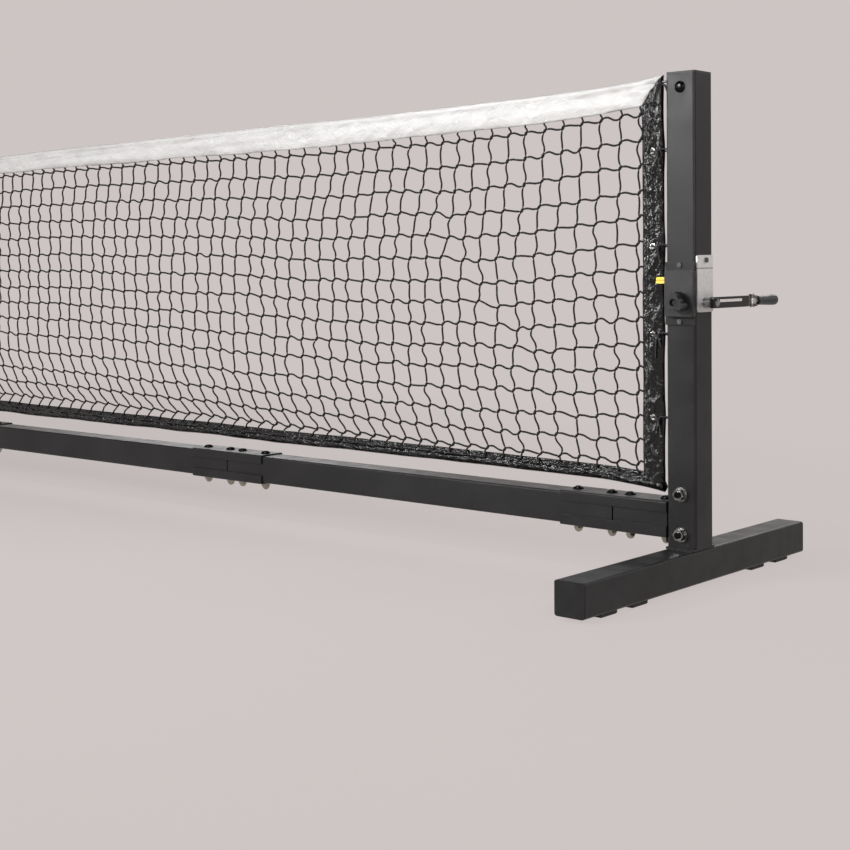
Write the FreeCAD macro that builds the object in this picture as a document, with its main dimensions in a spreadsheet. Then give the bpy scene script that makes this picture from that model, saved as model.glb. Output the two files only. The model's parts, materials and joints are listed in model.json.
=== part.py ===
import FreeCAD, Part
import math
import os
import re
import Sketcher

os.makedirs("parts", exist_ok=True)
doc = FreeCAD.newDocument("portable_net")

# Driving dimensions, in millimetres, angles in degrees. X runs along the net, Y across it, Z up.
# The origin is on the floor under the middle of the net.
DRIVING = {
    "post_spacing": 6706,
    "post_size": 60,
    "post_wall": 2,
    "post_corner": 5,
    "post_top": 921,
    "cap_thick": 4,
    "cap_plug": 3,
    "cap_plug_wall": 2,
    "foot_length": 750,
    "foot_width": 60,
    "foot_height": 60,
    "foot_wall": 2,
    "foot_corner": 5,
    "foot_cap_thick": 4,
    "foot_cap_plug": 18,
    "plug_corner": 1,
    "pad_height": 7,
    "pad_length": 46,
    "pad_width": 50,
    "pad_chamfer": 2,
    "outer_pad": 296,
    "inner_pad": 203,
    "plate_thick": 4,
    "plate_length": 72,
    "spigot_height": 130,
    "spigot_gap": 0.4,
    "beam_size": 60,
    "beam_wall": 1.5,
    "beam_corner": 4,
    "beam_bottom": 89,
    "joint_from_post": 148.5,
    "joint_gap": 3,
    "channel_half": 118,
    "channel_thick": 3,
    "channel_flange": 20,
    "channel_gap": 0.2,
    "inner_bolt": 20.5,
    "outer_bolt": 98,
    "bolt_radius": 5,
    "bolt_hole": 5.5,
    "bolt_head": 10.5,
    "bolt_head_height": 5.5,
    "bolt_socket": 3,
    "bolt_socket_depth": 3,
    "nut_keep": 40,
    "dome_nut_flats": 17,
    "dome_nut_height": 9,
    "dome_radius": 8,
    "post_bolt_low": 95,
    "post_bolt_high": 168,
    "post_bolt_radius": 6,
    "post_bolt_hole": 6.5,
    "post_bolt_flats": 19,
    "post_bolt_head": 7.5,
    "post_nut_height": 10,
    "post_bolt_tail": 3.5,
    "washer_radius": 13,
    "washer_thick": 2.5,
    "leg_offset": 190,
    "leg_bottom": 35,
    "leg_plug_height": 14,
    "thread_clear": 0.15,
    "stem_radius": 6,
    "stem_foot": 8,
    "stem_top": 76,
    "stem_clear": 0.3,
    "stem_hex_flats": 16,
    "stem_hex_height": 6,
    "stem_hex_gap": 0.5,
    "level_radius": 38,
    "level_rim": 7,
    "level_edge": 2,
    "level_shoulder": 9,
    "level_rise": 4,
    "level_boss": 13,
    "level_height": 20,
    "top_bolt_height": 897,
    "top_bolt_radius": 4,
    "top_bolt_head": 10.5,
    "top_bolt_rim": 1.5,
    "top_bolt_dome": 5.2,
    "top_bolt_clear": 0.25,
    "top_bolt_tail": 2,
    "top_nut_flats": 13,
    "top_nut_height": 6.5,
    "pulley_radius": 18.5,
    "pulley_width": 12,
    "pulley_clear": 0.1,
    "groove_clear": 0.5,
    "cable_radius": 2.5,
    "cable_on_pulley": 16,
    "cable_middle": 859,
    "cable_hole": 6,
    "cable_hole_drop": 0.5,
    "cable_clear": 0.3,
    "cable_eye_gap": 2,
    "cable_eye_wire": 1.5,
    "cable_drop": 60,
    "cable_middle_bend": 2500,
    "cable_lower_bend": 60,
    "tape_height": 50,
    "tape_above_cable": 5,
    "tape_half_thick": 4.5,
    "cable_channel": 3.1,
    "net_end": 51,
    "band_width": 48,
    "band_bottom": 168,
    "band_half_thick": 3,
    "seam_lean": 33,
    "seam_share": 0.18,
    "hem_bottom": 177,
    "hem_top": 205,
    "hem_half_thick": 3.5,
    "net_half_thick": 1.2,
    "net_cord": 12,
    "grommet_hole": 4,
    "grommet_rim": 8,
    "grommet_wall": 0.6,
    "grommet_bead": 0.9,
    "grommet_edge": 0.3,
    "grommet_from_post": 75,
    "tie_radius": 1.6,
    "tie_half_width": 5.5,
    "eye_from_post": 9,
    "eye_ring": 6,
    "eye_wire": 1.6,
    "corner_strap_start": 902,
    "corner_strap_end": 870,
    "corner_strap_thick": 2,
    "corner_strap_bend": 3,
    "corner_strap_half_width": 6,
    "strap_width": 60,
    "strap_half_depth": 7,
    "strap_thick": 2,
    "strap_foot": 161,
    "strap_over": 0.5,
    "strap_taper": 14,
    "strap_clear": 0.3,
    "slider_side": 5,
    "slider_depth": 7.2,
    "slider_height": 24,
    "slider_front": 9.6,
    "slider_bottom": 215,
    "slider_gap": 1,
    "slider_slack": 0.8,
    "anchor_bar": 2.5,
    "anchor_height": 166,
    "anchor_reach": 40,
    "anchor_leg_width": 5,
    "anchor_leg_depth": 8,
    "anchor_foot_width": 16,
    "anchor_foot_depth": 20,
    "anchor_foot_thick": 3,
    "shaft_height": 512,
    "journal_radius": 8,
    "collar_radius": 9,
    "collar_gap": 0.5,
    "flute_radius": 1.1,
    "flute_end": 1,
    "flutes": 12,
    "drive_square": 10,
    "button_radius": 7,
    "button_height": 3,
    "bush_clear": 0.06,
    "bush_wall": 3,
    "bush_rim": 6,
    "bush_rim_thick": 1.5,
    "winch_flange_thick": 3,
    "winch_flange_bottom": 472,
    "winch_flange_top": 585,
    "cover_half_width": 29.5,
    "cover_shift": 3.5,
    "cover_bottom": 487,
    "cover_top": 570,
    "cover_depth": 10,
    "cover_wall": 2,
    "cover_corner": 3,
    "flange_screw_low": 478,
    "flange_screw_high": 579,
    "gear_screw_radius": 2.5,
    "gear_screw_clear": 0.1,
    "gear_screw_head": 4.6,
    "gear_screw_head_height": 2.6,
    "flange_screw_length": 8,
    "plate_screw_length": 10,
    "crank_plate_thick": 3,
    "crank_plate_bottom": 495,
    "crank_plate_top": 597,
    "crank_plate_width": 54,
    "crank_plate_screw": 588,
    "plate_screw_side": 3,
    "crank_plate_corner": 4,
    "crank_plate_clear": 1.5,
    "spool_core": 12,
    "spool_flange": 22,
    "spool_left": -22,
    "spool_right": 4,
    "spool_rim": 2,
    "wound_gap": 2.2,
    "wound_radius": 17,
    "ratchet_left": 15,
    "ratchet_width": 6,
    "ratchet_tip": 20,
    "ratchet_root": 17,
    "ratchet_teeth": 16,
    "tooth_lean": 2,
    "tooth_clear": 1.5,
    "pawl_pivot_out": 37,
    "pawl_pivot_height": 552,
    "pawl_pivot_radius": 2.5,
    "pawl_middle": 21,
    "pawl_thick": 4,
    "pawl_lift": 4,
    "pawl_side_gap": 0.5,
    "pawl_boss": 3.7,
    "pawl_pin_out": 15,
    "pawl_pin_extra": 17.5,
    "pawl_slot_width": 8,
    "pawl_slot_height": 48,
    "pawl_slot_bottom": 500,
    "tab_out": 15.5,
    "tab_length": 18,
    "tab_depth": 7,
    "tab_height": 11.5,
    "tab_chamfer": 2.5,
    "stud_offset": 9,
    "stud_height": 513,
    "stud_radius": 4,
    "stud_clear": 0.3,
    "stud_hole_clear": 0.5,
    "stud_tip": 3.2,
    "plunger_thick": 3,
    "plunger_step": 0.5,
    "plunger_gap": 0.1,
    "knob_radius": 13,
    "knob_lobe": 8,
    "knob_lobe_out": 11.5,
    "knob_skirt": 11,
    "knob_depth": 27,
    "knob_gap": 1,
    "dimple_radius": 6.5,
    "dimple_depth": 7,
    "knob_waist": 5,
    "knob_waist_out": 8,
    "knob_bore_end": 4,
    "arm_inner": 49,
    "arm_thick": 8,
    "arm_height": 20,
    "arm_near": 11,
    "arm_far": 113,
    "arm_slot_length": 81,
    "arm_slot_height": 6,
    "arm_slot_depth": 2,
    "arm_slot_start": 10,
    "arm_corner": 3,
    "hinge_out": 131,
    "clevis_end": 10,
    "tongue_half": 5.3,
    "tongue_gap": 0.3,
    "clevis_heel": 7,
    "neck_step": 0.6,
    "hinge_pin_radius": 3,
    "hinge_head_radius": 5,
    "hinge_head_height": 2,
    "hinge_nut_flats": 10,
    "hinge_nut_height": 2.5,
    "barrel_radius": 8,
    "spindle_radius": 4,
    "spindle_start": 1,
    "spindle_short": 5,
    "spindle_clear": 0.08,
    "bore_short": 5.7,
    "grip_start": 148,
    "grip_end": 218,
    "grip_radius": 9.5,
}

sizes = doc.addObject("Spreadsheet::Sheet", "sizes")
for row, (alias, amount) in enumerate(DRIVING.items(), start=1):
    sizes.set("A%d" % row, alias)
    sizes.set("B%d" % row, str(amount))
    sizes.setAlias("B%d" % row, alias)
doc.recompute()

NODES = {}
Vector = FreeCAD.Vector
FACING = {
    "X": FreeCAD.Rotation(Vector(0, 1, 0), 90),
    "Y": FreeCAD.Rotation(Vector(1, 0, 0), -90),
    "Z": FreeCAD.Rotation(),
}
ACROSS = {"X": "YZ_Plane", "Y": "XZ_Plane", "Z": "XY_Plane"}


def linked(formula):
    """The formula with each driving dimension written as a cell of the sheet."""
    return re.sub(
        r"[a-z]+(?:_[a-z]+)+",
        lambda word: "sizes." + word.group(0) if word.group(0) in DRIVING else word.group(0),
        str(formula),
    )


def size(formula):
    """The value of a formula of driving dimensions."""
    answer = sizes.evalExpression(linked(formula))
    return float(getattr(answer, "Value", answer))


def bind(thing, **links):
    """Each named property follows its formula."""
    for name, formula in links.items():
        thing.setExpression(name, linked(formula))
    return thing


def place(thing, x=0, y=0, z=0, turn=None):
    """The thing's Placement, with its three distances bound to formulas."""
    thing.Placement = FreeCAD.Placement(Vector(), turn or FreeCAD.Rotation())
    for letter, formula in zip("xyz", (x, y, z)):
        thing.setExpression("Placement.Base." + letter, linked(formula))
    return thing


def node(thing, name):
    """The thing becomes the node of that name."""
    thing.Label = name
    NODES[name] = thing
    return thing


def block(name, spans, at):
    """A box with its three side lengths and its lowest corner as formulas."""
    made = doc.addObject("Part::Box", name)
    bind(made, Length=spans[0], Width=spans[1], Height=spans[2])
    return place(made, *at)


def rod(name, radius, length, axis, at):
    """A cylinder along the positive axis, from the middle of its first face."""
    made = doc.addObject("Part::Cylinder", name)
    bind(made, Radius=radius, Height=length)
    return place(made, *at, turn=FACING[axis])


def ball(name, radius, at):
    made = doc.addObject("Part::Sphere", name)
    bind(made, Radius=radius)
    return place(made, *at)


def hexagon(name, flats, length, axis, at):
    """A six-sided prism along the positive axis."""
    made = doc.addObject("Part::Prism", name)
    made.Polygon = 6
    bind(made, Circumradius="(%s) / sqrt(3)" % flats, Height=length)
    return place(made, *at, turn=FACING[axis])


def fused(name, shapes):
    made = doc.addObject("Part::MultiFuse", name)
    made.Shapes = shapes
    return made


def cut(name, base, tools):
    """The base with every tool taken out of it."""
    made = doc.addObject("Part::Cut", name)
    made.Base = base
    made.Tool = tools[0] if len(tools) == 1 else fused(name + "_tools", tools)
    return made


def joined(name, shapes):
    """Several separate solids of one node."""
    made = doc.addObject("Part::Compound", name)
    made.Links = shapes
    return made


def body(name, at=(0, 0, 0)):
    return place(doc.addObject("PartDesign::Body", name), *at)


def sketch_on(owner, plane, name):
    """A new sketch on one of the body's origin planes."""
    made = owner.newObject("Sketcher::SketchObject", name)
    face = next(each for each in owner.Origin.OriginFeatures if each.Role == plane)
    made.AttachmentSupport = [(face, "")]
    made.MapMode = "FlatFace"
    return made


def draw(sketch, corners):
    """A closed outline of straight lines whose corners follow pairs of formulas."""
    points = [Vector(size(u), size(v), 0) for u, v in corners]
    first = sketch.GeometryCount
    count = len(points)
    for index, point in enumerate(points):
        sketch.addGeometry(Part.LineSegment(point, points[(index + 1) % count]), False)
    for index, (u, v) in enumerate(corners):
        here = first + index
        before = first + (index - 1) % count
        sketch.addConstraint(Sketcher.Constraint("Coincident", before, 2, here, 1))
        hold(sketch, here, "DistanceX", u, -2)
        hold(sketch, here, "DistanceY", v, -1)


def hold(sketch, line, kind, formula, axis):
    """The line's first point keeps its distance from the sketch's origin, or stays on an axis."""
    distance = size(formula)
    if abs(distance) < 1e-9:
        sketch.addConstraint(Sketcher.Constraint("PointOnObject", line, 1, axis))
        return
    number = sketch.addConstraint(Sketcher.Constraint(kind, -1, 1, line, 1, distance))
    sketch.setExpression("Constraints[%d]" % number, linked(formula))


def rectangle(sketch, width, height):
    """A rectangle round the sketch's origin."""
    u = "(%s) / 2" % width
    v = "(%s) / 2" % height
    draw(sketch, [("-" + u, "-" + v), (u, "-" + v), (u, v), ("-" + u, v)])


def pad(owner, sketch, length, middle=False):
    """The sketch drawn out, both ways at once if it is in the middle."""
    made = owner.newObject("PartDesign::Pad", owner.Name + "_pad")
    made.Profile = sketch
    made.SideType = "Symmetric" if middle else "One side"
    bind(made, Length=length)
    doc.recompute()
    return made


def long_edges(shape, axis, least):
    """Names of the straight edges along the axis that lie furthest from the middle."""
    others = [letter for letter in "xyz" if letter != axis.lower()]
    names = []
    for index, edge in enumerate(shape.Edges, start=1):
        ends = [vertex.Point for vertex in edge.Vertexes]
        if len(ends) < 2:
            continue
        run = ends[1] - ends[0]
        straight = all(abs(getattr(run, letter)) < 1e-6 for letter in others)
        away = all(abs(getattr(ends[0], letter)) > least for letter in others)
        if straight and away:
            names.append("Edge%d" % index)
    return names


def round_edges(owner, feature, names, radius):
    made = owner.newObject("PartDesign::Fillet", owner.Name + "_round")
    made.Base = (feature, names)
    bind(made, Radius=radius)
    doc.recompute()
    return made


def square_tube(name, axis, width, height, wall, corner, length, at):
    """A hollow tube round its axis, its long outer corners rounded, centred along its length."""
    owner = body(name, at)
    section = sketch_on(owner, ACROSS[axis], name + "_section")
    rectangle(section, width, height)
    rectangle(section, "%s - 2 * %s" % (width, wall), "%s - 2 * %s" % (height, wall))
    tube = pad(owner, section, length, middle=True)
    least = min(size(width), size(height)) / 2 - size(wall) / 2
    round_edges(owner, tube, long_edges(tube.Shape, axis, least), corner)
    return owner


def turned(name, corners, at, turn=None):
    """A solid of revolution about the body's Z axis, from an outline of radius and height."""
    owner = body(name)
    place(owner, *at, turn=turn)
    outline = sketch_on(owner, "XZ_Plane", name + "_outline")
    draw(outline, corners)
    made = owner.newObject("PartDesign::Revolution", name + "_turned")
    made.Profile = outline
    made.ReferenceAxis = (outline, ["V_Axis"])
    made.Angle = 360
    doc.recompute()
    return owner


def drawn_out(name, axis, corners, length, at):
    """A prism of any outline, drawn out both ways along the axis."""
    owner = body(name, at)
    outline = sketch_on(owner, ACROSS[axis], name + "_outline")
    draw(outline, corners)
    pad(owner, outline, length, middle=True)
    return owner


def plain(name, shape):
    """A node whose shape comes from this file's own reckoning."""
    made = doc.addObject("Part::Feature", name)
    made.Shape = shape
    made.Placement = FreeCAD.Placement()
    return node(made, name)


def repeated(name, master, places):
    """A node of equal solids: the master at each place."""
    doc.recompute()
    solids = []
    for where in places:
        twin = master.Shape.copy()
        twin.translate(Vector(*where))
        solids.append(twin)
    return plain(name, Part.makeCompound(solids))


SIDES = {"left": -1, "right": 1}
POST_BASE = "pad_height + foot_height + plate_thick"


def post_x(side, inward="0"):
    """Formula for a distance along X, measured inward from a post's middle."""
    return "%d * (post_spacing / 2 - (%s))" % (SIDES[side], inward)


# Posts: a tube with a beam stub welded to its inner face, and every hole through it.
def make_post(side):
    name = side + "_post"
    length = "post_top - (%s)" % POST_BASE
    middle = "(post_top + %s) / 2" % POST_BASE
    tube = square_tube(
        name + "_tube", "Z", "post_size", "post_size", "post_wall", "post_corner", length,
        (post_x(side), 0, middle),
    )
    stub_end = "joint_from_post - joint_gap / 2"
    stub = square_tube(
        name + "_stub", "X", "beam_size", "beam_size", "beam_wall", "beam_corner",
        "%s - post_size / 2" % stub_end,
        (post_x(side, "(%s + post_size / 2) / 2" % stub_end), 0, "beam_bottom + beam_size / 2"),
    )
    holes = []
    for number, height in enumerate(("post_bolt_low", "post_bolt_high")):
        holes.append(across_hole(name, number, "post_bolt_hole", side, height))
    top = "top_bolt_height" if side == "right" else "top_bolt_height + cable_on_pulley"
    holes.append(across_hole(name, 2, "top_bolt_radius + top_bolt_clear", side, top))
    start = post_x(side, "post_size") if side == "right" else post_x(side)
    holes.append(
        rod(name + "_cable_hole", "cable_hole", "post_size", "X",
            (start, 0, "top_bolt_height + cable_on_pulley - cable_hole_drop"))
    )
    for offset in ("inner_bolt", "outer_bolt"):
        inward = "joint_from_post - " + offset
        holes.append(
            rod(name + "_" + offset, "bolt_hole", "beam_size + 2", "Z",
                (post_x(side, inward), 0, "beam_bottom - 1"))
        )
    if side == "right":
        holes.extend(winch_openings(name))
    return node(cut(name, fused(name + "_weldment", [tube, stub]), holes), name)


def across_hole(name, number, radius, side, height):
    """A hole through both walls of a post, along Y."""
    return rod(
        "%s_across_%d" % (name, number), radius, "post_size + 2", "Y",
        (post_x(side), "-post_size / 2 - 1", height),
    )


def winch_openings(name):
    """Holes that the crank gear needs in the right post."""
    at_x = "post_spacing / 2"
    wall = "post_wall + 2"
    front = "-post_size / 2 - 1"
    shaft = rod(
        name + "_shaft_hole", "journal_radius + bush_wall", "post_size + 2", "X",
        (at_x + " - post_size / 2 - 1", 0, "shaft_height"),
    )
    stud = rod(
        name + "_stud_hole", "stud_radius + stud_hole_clear", wall, "Y",
        (at_x + " + stud_offset", front, "stud_height"),
    )
    slot = block(
        name + "_pawl_slot", ("pawl_slot_width", wall, "pawl_slot_height"),
        (at_x + " + ratchet_left - 1", front, "pawl_slot_bottom"),
    )
    screws = [
        rod(name + "_" + height, "gear_screw_radius", wall, "Y", (at_x, front, height))
        for height in ("flange_screw_low", "flange_screw_high")
    ]
    plate = rod(
        name + "_plate_screw_hole", "gear_screw_radius", wall, "X",
        (at_x + " + post_size / 2 - post_wall - 1", "plate_screw_side", "crank_plate_screw"),
    )
    return [shaft, stud, slot, plate] + screws


def make_post_cap(side):
    """A flat cap with a short hollow plug inside the tube."""
    name = side + "_cap"
    half = "post_size / 2"
    top = body(name + "_top", (post_x(side), 0, "post_top"))
    section = sketch_on(top, "XY_Plane", name + "_top_section")
    rectangle(section, "post_size", "post_size")
    plate = pad(top, section, "cap_thick")
    round_edges(top, plate, long_edges(plate.Shape, "Z", size(half) - 1), "post_corner")
    inside = "post_size - 2 * post_wall"
    plug = block(
        name + "_plug", (inside, inside, "cap_plug"),
        (post_x(side) + " - (%s) / 2" % inside, "-(%s) / 2" % inside, "post_top - cap_plug"),
    )
    hollow = "post_size - 2 * post_wall - 2 * cap_plug_wall"
    well = block(
        name + "_well", (hollow, hollow, "cap_plug"),
        (post_x(side) + " - (%s) / 2" % hollow, "-(%s) / 2" % hollow, "post_top - cap_plug"),
    )
    return cut(name, fused(name + "_solid", [top, plug]), [well])


# Feet: a tube across the net, a base plate and a spigot that stands up inside the post.
def make_foot(side):
    name = side + "_foot"
    tube = square_tube(
        name + "_tube", "Y", "foot_width", "foot_height", "foot_wall", "foot_corner",
        "foot_length - 2 * foot_cap_thick", (post_x(side), 0, "pad_height + foot_height / 2"),
    )
    plate = block(
        name + "_plate", ("foot_width - 2", "plate_length", "plate_thick"),
        (post_x(side) + " - foot_width / 2 + 1", "-plate_length / 2", "pad_height + foot_height"),
    )
    outer = "post_size - 2 * post_wall - 2 * spigot_gap"
    spigot = square_tube(
        name + "_spigot", "Z", outer, outer, "post_wall", "post_corner - post_wall", "spigot_height",
        (post_x(side), 0, "%s + spigot_height / 2" % POST_BASE),
    )
    holes = [
        across_hole(name, number, "post_bolt_hole", side, height)
        for number, height in enumerate(("post_bolt_low", "post_bolt_high"))
    ]
    return node(cut(name, fused(name + "_weldment", [tube, plate, spigot]), holes), name)


def make_foot_cap(side, end):
    """An end cap: a plate the size of the tube and a plug inside it."""
    name = "%s_foot_cap_%s" % (side, end)
    sign = -1 if end == "front" else 1
    centre = "pad_height + foot_height / 2"
    out = "%d * (foot_length / 2 - foot_cap_thick / 2)" % sign
    owner = body(name + "_plate", (post_x(side), out, centre))
    section = sketch_on(owner, "XZ_Plane", name + "_section")
    rectangle(section, "foot_width", "foot_height")
    plate = pad(owner, section, "foot_cap_thick", middle=True)
    least = size("foot_height") / 2 - 1
    round_edges(owner, plate, long_edges(plate.Shape, "Y", least), "foot_corner")
    plug = square_tube(
        name + "_plug", "Y", "foot_width - 2 * foot_wall", "foot_height - 2 * foot_wall", "foot_wall",
        "plug_corner", "foot_cap_plug",
        (post_x(side), "%d * (foot_length / 2 - foot_cap_thick - foot_cap_plug / 2)" % sign, centre),
    )
    return fused(name, [owner, plug])


def foot_pad(side, out, number):
    """One rubber pad, its lower edges chamfered."""
    name = "%s_pad_%d" % (side, number)
    base = block(
        name + "_block", ("pad_width", "pad_length", "pad_height"),
        (post_x(side) + " - pad_width / 2", out + " - pad_length / 2", 0),
    )
    doc.recompute()
    made = doc.addObject("Part::Chamfer", name)
    made.Base = base
    slope = size("pad_chamfer")
    low = [
        (index, slope, slope)
        for index, edge in enumerate(base.Shape.Edges, start=1)
        if edge.BoundBox.ZMax < 1e-6
    ]
    made.Edges = low
    return made


# Bolts through the posts: head at the back, washers both sides, nut at the front.
def make_post_bolts():
    half = "post_size / 2 + washer_thick"
    head = hexagon("post_bolt_hex", "post_bolt_flats", "post_bolt_head", "Y", (0, half, 0))
    reach = "2 * (%s) + post_nut_height + post_bolt_tail" % half
    shank = rod(
        "post_bolt_shank", "post_bolt_radius", reach, "Y",
        (0, "-(%s) - post_nut_height - post_bolt_tail" % half, 0),
    )
    bolt = fused("post_bolt_master", [head, shank])
    blank = hexagon(
        "post_nut_hex", "post_bolt_flats", "post_nut_height", "Y", (0, "-(%s) - post_nut_height" % half, 0)
    )
    bore = rod(
        "post_nut_bore", "post_bolt_radius", "post_nut_height", "Y", (0, "-(%s) - post_nut_height" % half, 0)
    )
    nut = cut("post_nut_master", blank, [bore])
    rings = []
    for face, start in (("front", "-(%s)" % half), ("back", "post_size / 2")):
        disc = rod("washer_%s_disc" % face, "washer_radius", "washer_thick", "Y", (0, start, 0))
        hole = rod("washer_%s_hole" % face, "post_bolt_hole", "washer_thick", "Y", (0, start, 0))
        rings.append(cut("washer_%s_master" % face, disc, [hole]))
    washer = joined("washer_pair", rings)
    places = [
        (sign * size("post_spacing") / 2, 0, size(height))
        for sign in SIDES.values()
        for height in ("post_bolt_low", "post_bolt_high")
    ]
    repeated("post_bolts", bolt, places)
    repeated("post_nuts", nut, places)
    repeated("post_washers", washer, places)


# The ground beam: six equal sections between the stubs.
SECTIONS = 6
PITCH = "(post_spacing - 2 * joint_from_post) / %d" % SECTIONS


def joint_x(number):
    """Formula for the place of a beam joint, counted from the left stub."""
    return "-post_spacing / 2 + joint_from_post + %d * (%s)" % (number, PITCH)


def make_beam(number):
    name = "beam_%d" % number
    middle = "-post_spacing / 2 + joint_from_post + %.1f * (%s)" % (number - 0.5, PITCH)
    tube = square_tube(
        name + "_tube", "X", "beam_size", "beam_size", "beam_wall", "beam_corner",
        "%s - joint_gap" % PITCH, (middle, 0, "beam_bottom + beam_size / 2"),
    )
    holes = []
    for end, sign in ((number - 1, 1), (number, -1)):
        for offset in ("inner_bolt", "outer_bolt"):
            x = "%s + %d * %s" % (joint_x(end), sign, offset)
            holes.append(
                rod("%s_hole_%d_%s" % (name, end, offset), "bolt_hole", "beam_size + 2", "Z",
                    (x, 0, "beam_bottom - 1"))
            )
    return node(cut(name, tube, holes), name)


def channel(name, upright):
    """A U-shaped channel along X over or under the beam, with its four bolt holes."""
    inner = "beam_size / 2 + channel_gap"
    outer = inner + " + channel_thick"
    top = "channel_thick"
    low = "-channel_flange + channel_thick"
    outline = [
        ("-(%s)" % outer, top), ("-(%s)" % outer, low), ("-(%s)" % inner, low), ("-(%s)" % inner, 0),
        (inner, 0), (inner, low), (outer, low), (outer, top),
    ]
    if not upright:
        outline = [(u, "-(%s)" % v) for u, v in outline]
    level = "beam_bottom + beam_size" if upright else "beam_bottom"
    owner = drawn_out(name + "_bend", "X", outline, "2 * channel_half", (0, 0, level))
    bend = owner.Tip
    height = size("channel_thick") * (1 if upright else -1)
    edges = [
        "Edge%d" % index
        for index, edge in enumerate(bend.Shape.Edges, start=1)
        if abs(edge.BoundBox.ZMin - height) < 1e-6
        and abs(edge.BoundBox.ZMax - height) < 1e-6
        and edge.BoundBox.XLength > size("channel_half")
    ]
    round_edges(owner, bend, edges, "channel_thick")
    holes = [
        rod("%s_hole_%d" % (name, number), "bolt_hole", "3 * channel_thick", "Z",
            (offset, 0, level + " - 1.5 * channel_thick"))
        for number, offset in enumerate(("-outer_bolt", "-inner_bolt", "inner_bolt", "outer_bolt"))
    ]
    return cut(name, owner, holes)


def make_splices():
    """Channels, button head bolts and dome nuts of every beam joint."""
    joints = [(size(joint_x(number)), 0, 0) for number in range(SECTIONS + 1)]
    repeated("splice_top_channels", channel("splice_top", True), joints)
    repeated("splice_bottom_channels", channel("splice_bottom", False), joints)
    seat = "beam_bottom + beam_size + channel_thick"
    under = "beam_bottom - channel_thick"
    button = turned(
        "splice_button",
        [
            (0, 0), ("bolt_head", 0), ("bolt_head", "bolt_head_height / 3"),
            ("bolt_head * 0.85", "bolt_head_height * 0.75"), ("bolt_head * 0.55", "bolt_head_height"),
            (0, "bolt_head_height"),
        ],
        (0, 0, seat),
    )
    socket = hexagon(
        "splice_socket", "2 * bolt_socket", "bolt_socket_depth", "Z",
        (0, 0, seat + " + bolt_head_height - bolt_socket_depth"),
    )
    shank = rod(
        "splice_shank", "bolt_radius", "%s - (%s) + dome_nut_height" % (seat, under), "Z",
        (0, 0, under + " - dome_nut_height"),
    )
    bolt = fused("splice_bolt_master", [cut("splice_head", button, [socket]), shank])
    nut_hex = hexagon("splice_nut_hex", "dome_nut_flats", "dome_nut_height", "Z",
                      (0, 0, under + " - dome_nut_height"))
    dome = ball("splice_dome", "dome_radius", (0, 0, under + " - dome_nut_height"))
    inside = rod("splice_nut_bore", "bolt_radius", "dome_nut_height", "Z",
                 (0, 0, under + " - dome_nut_height"))
    nut = cut("splice_nut_master", fused("splice_nut_solid", [nut_hex, dome]), [inside])
    places = [
        (x + size(offset), 0, 0)
        for x, _, _ in joints
        for offset in ("-outer_bolt", "-inner_bolt", "inner_bolt", "outer_bolt")
    ]
    repeated("splice_bolts", bolt, places)
    repeated("splice_nuts", trimmed_nut(nut, under), places)


def trimmed_nut(nut, under):
    """The dome nut without the part of its ball that would reach up past the seat."""
    keep = block("splice_nut_keep", ("nut_keep", "nut_keep", "nut_keep"),
                 ("-nut_keep / 2", "-nut_keep / 2", under + " - nut_keep"))
    made = doc.addObject("Part::MultiCommon", "splice_nut_trimmed")
    made.Shapes = [nut, keep]
    return made


# Middle legs, with threaded plugs, screw stems and round levelling pads.
def make_legs():
    legs = []
    plugs = []
    for side, sign in SIDES.items():
        x = "%d * leg_offset" % sign
        legs.append(
            square_tube(side + "_leg", "Z", "beam_size", "beam_size", "beam_wall", "beam_corner",
                        "beam_bottom - leg_bottom", (x, 0, "(beam_bottom + leg_bottom) / 2"))
        )
        span = "beam_size - 2 * beam_wall"
        insert = block(side + "_plug_block", (span, span, "leg_plug_height"),
                       (x + " - (%s) / 2" % span, "-(%s) / 2" % span, "leg_bottom"))
        bore = rod(side + "_plug_bore", "stem_radius + thread_clear", "leg_plug_height + 2", "Z",
                   (x, 0, "leg_bottom - 1"))
        plugs.append(cut(side + "_plug", insert, [bore]))
        make_level_foot(side, x)
    node(joined("centre_legs", legs), "centre_legs")
    node(joined("leg_plugs", plugs), "leg_plugs")


def make_level_foot(side, x):
    """A round pad with a domed top, and the screw stem that turns in its socket."""
    radius = "level_radius"
    disc = turned(
        side + "_level_disc",
        [
            (0, 0), (radius + " - level_edge", 0), (radius, "level_edge"),
            (radius, "level_rim - level_edge / 2"), (radius + " - level_edge", "level_rim"),
            ("level_boss + level_shoulder", "level_rim + level_rise"),
            ("level_boss + level_edge", "level_height - level_rise"), ("level_boss", "level_height"),
            (0, "level_height"),
        ],
        (x, 0, 0),
    )
    socket = rod(side + "_level_socket", "stem_radius + thread_clear", "level_height", "Z",
                 (x, 0, "stem_foot - stem_clear"))
    node(cut(side + "_level_pad", disc, [socket]), side + "_level_pad")
    thread = rod(side + "_stem_rod", "stem_radius", "stem_top - stem_foot", "Z", (x, 0, "stem_foot"))
    grip = hexagon(side + "_stem_hex", "stem_hex_flats", "stem_hex_height", "Z",
                   (x, 0, "level_height + stem_hex_gap"))
    node(fused(side + "_level_stem", [thread, grip]), side + "_level_stem")


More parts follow.
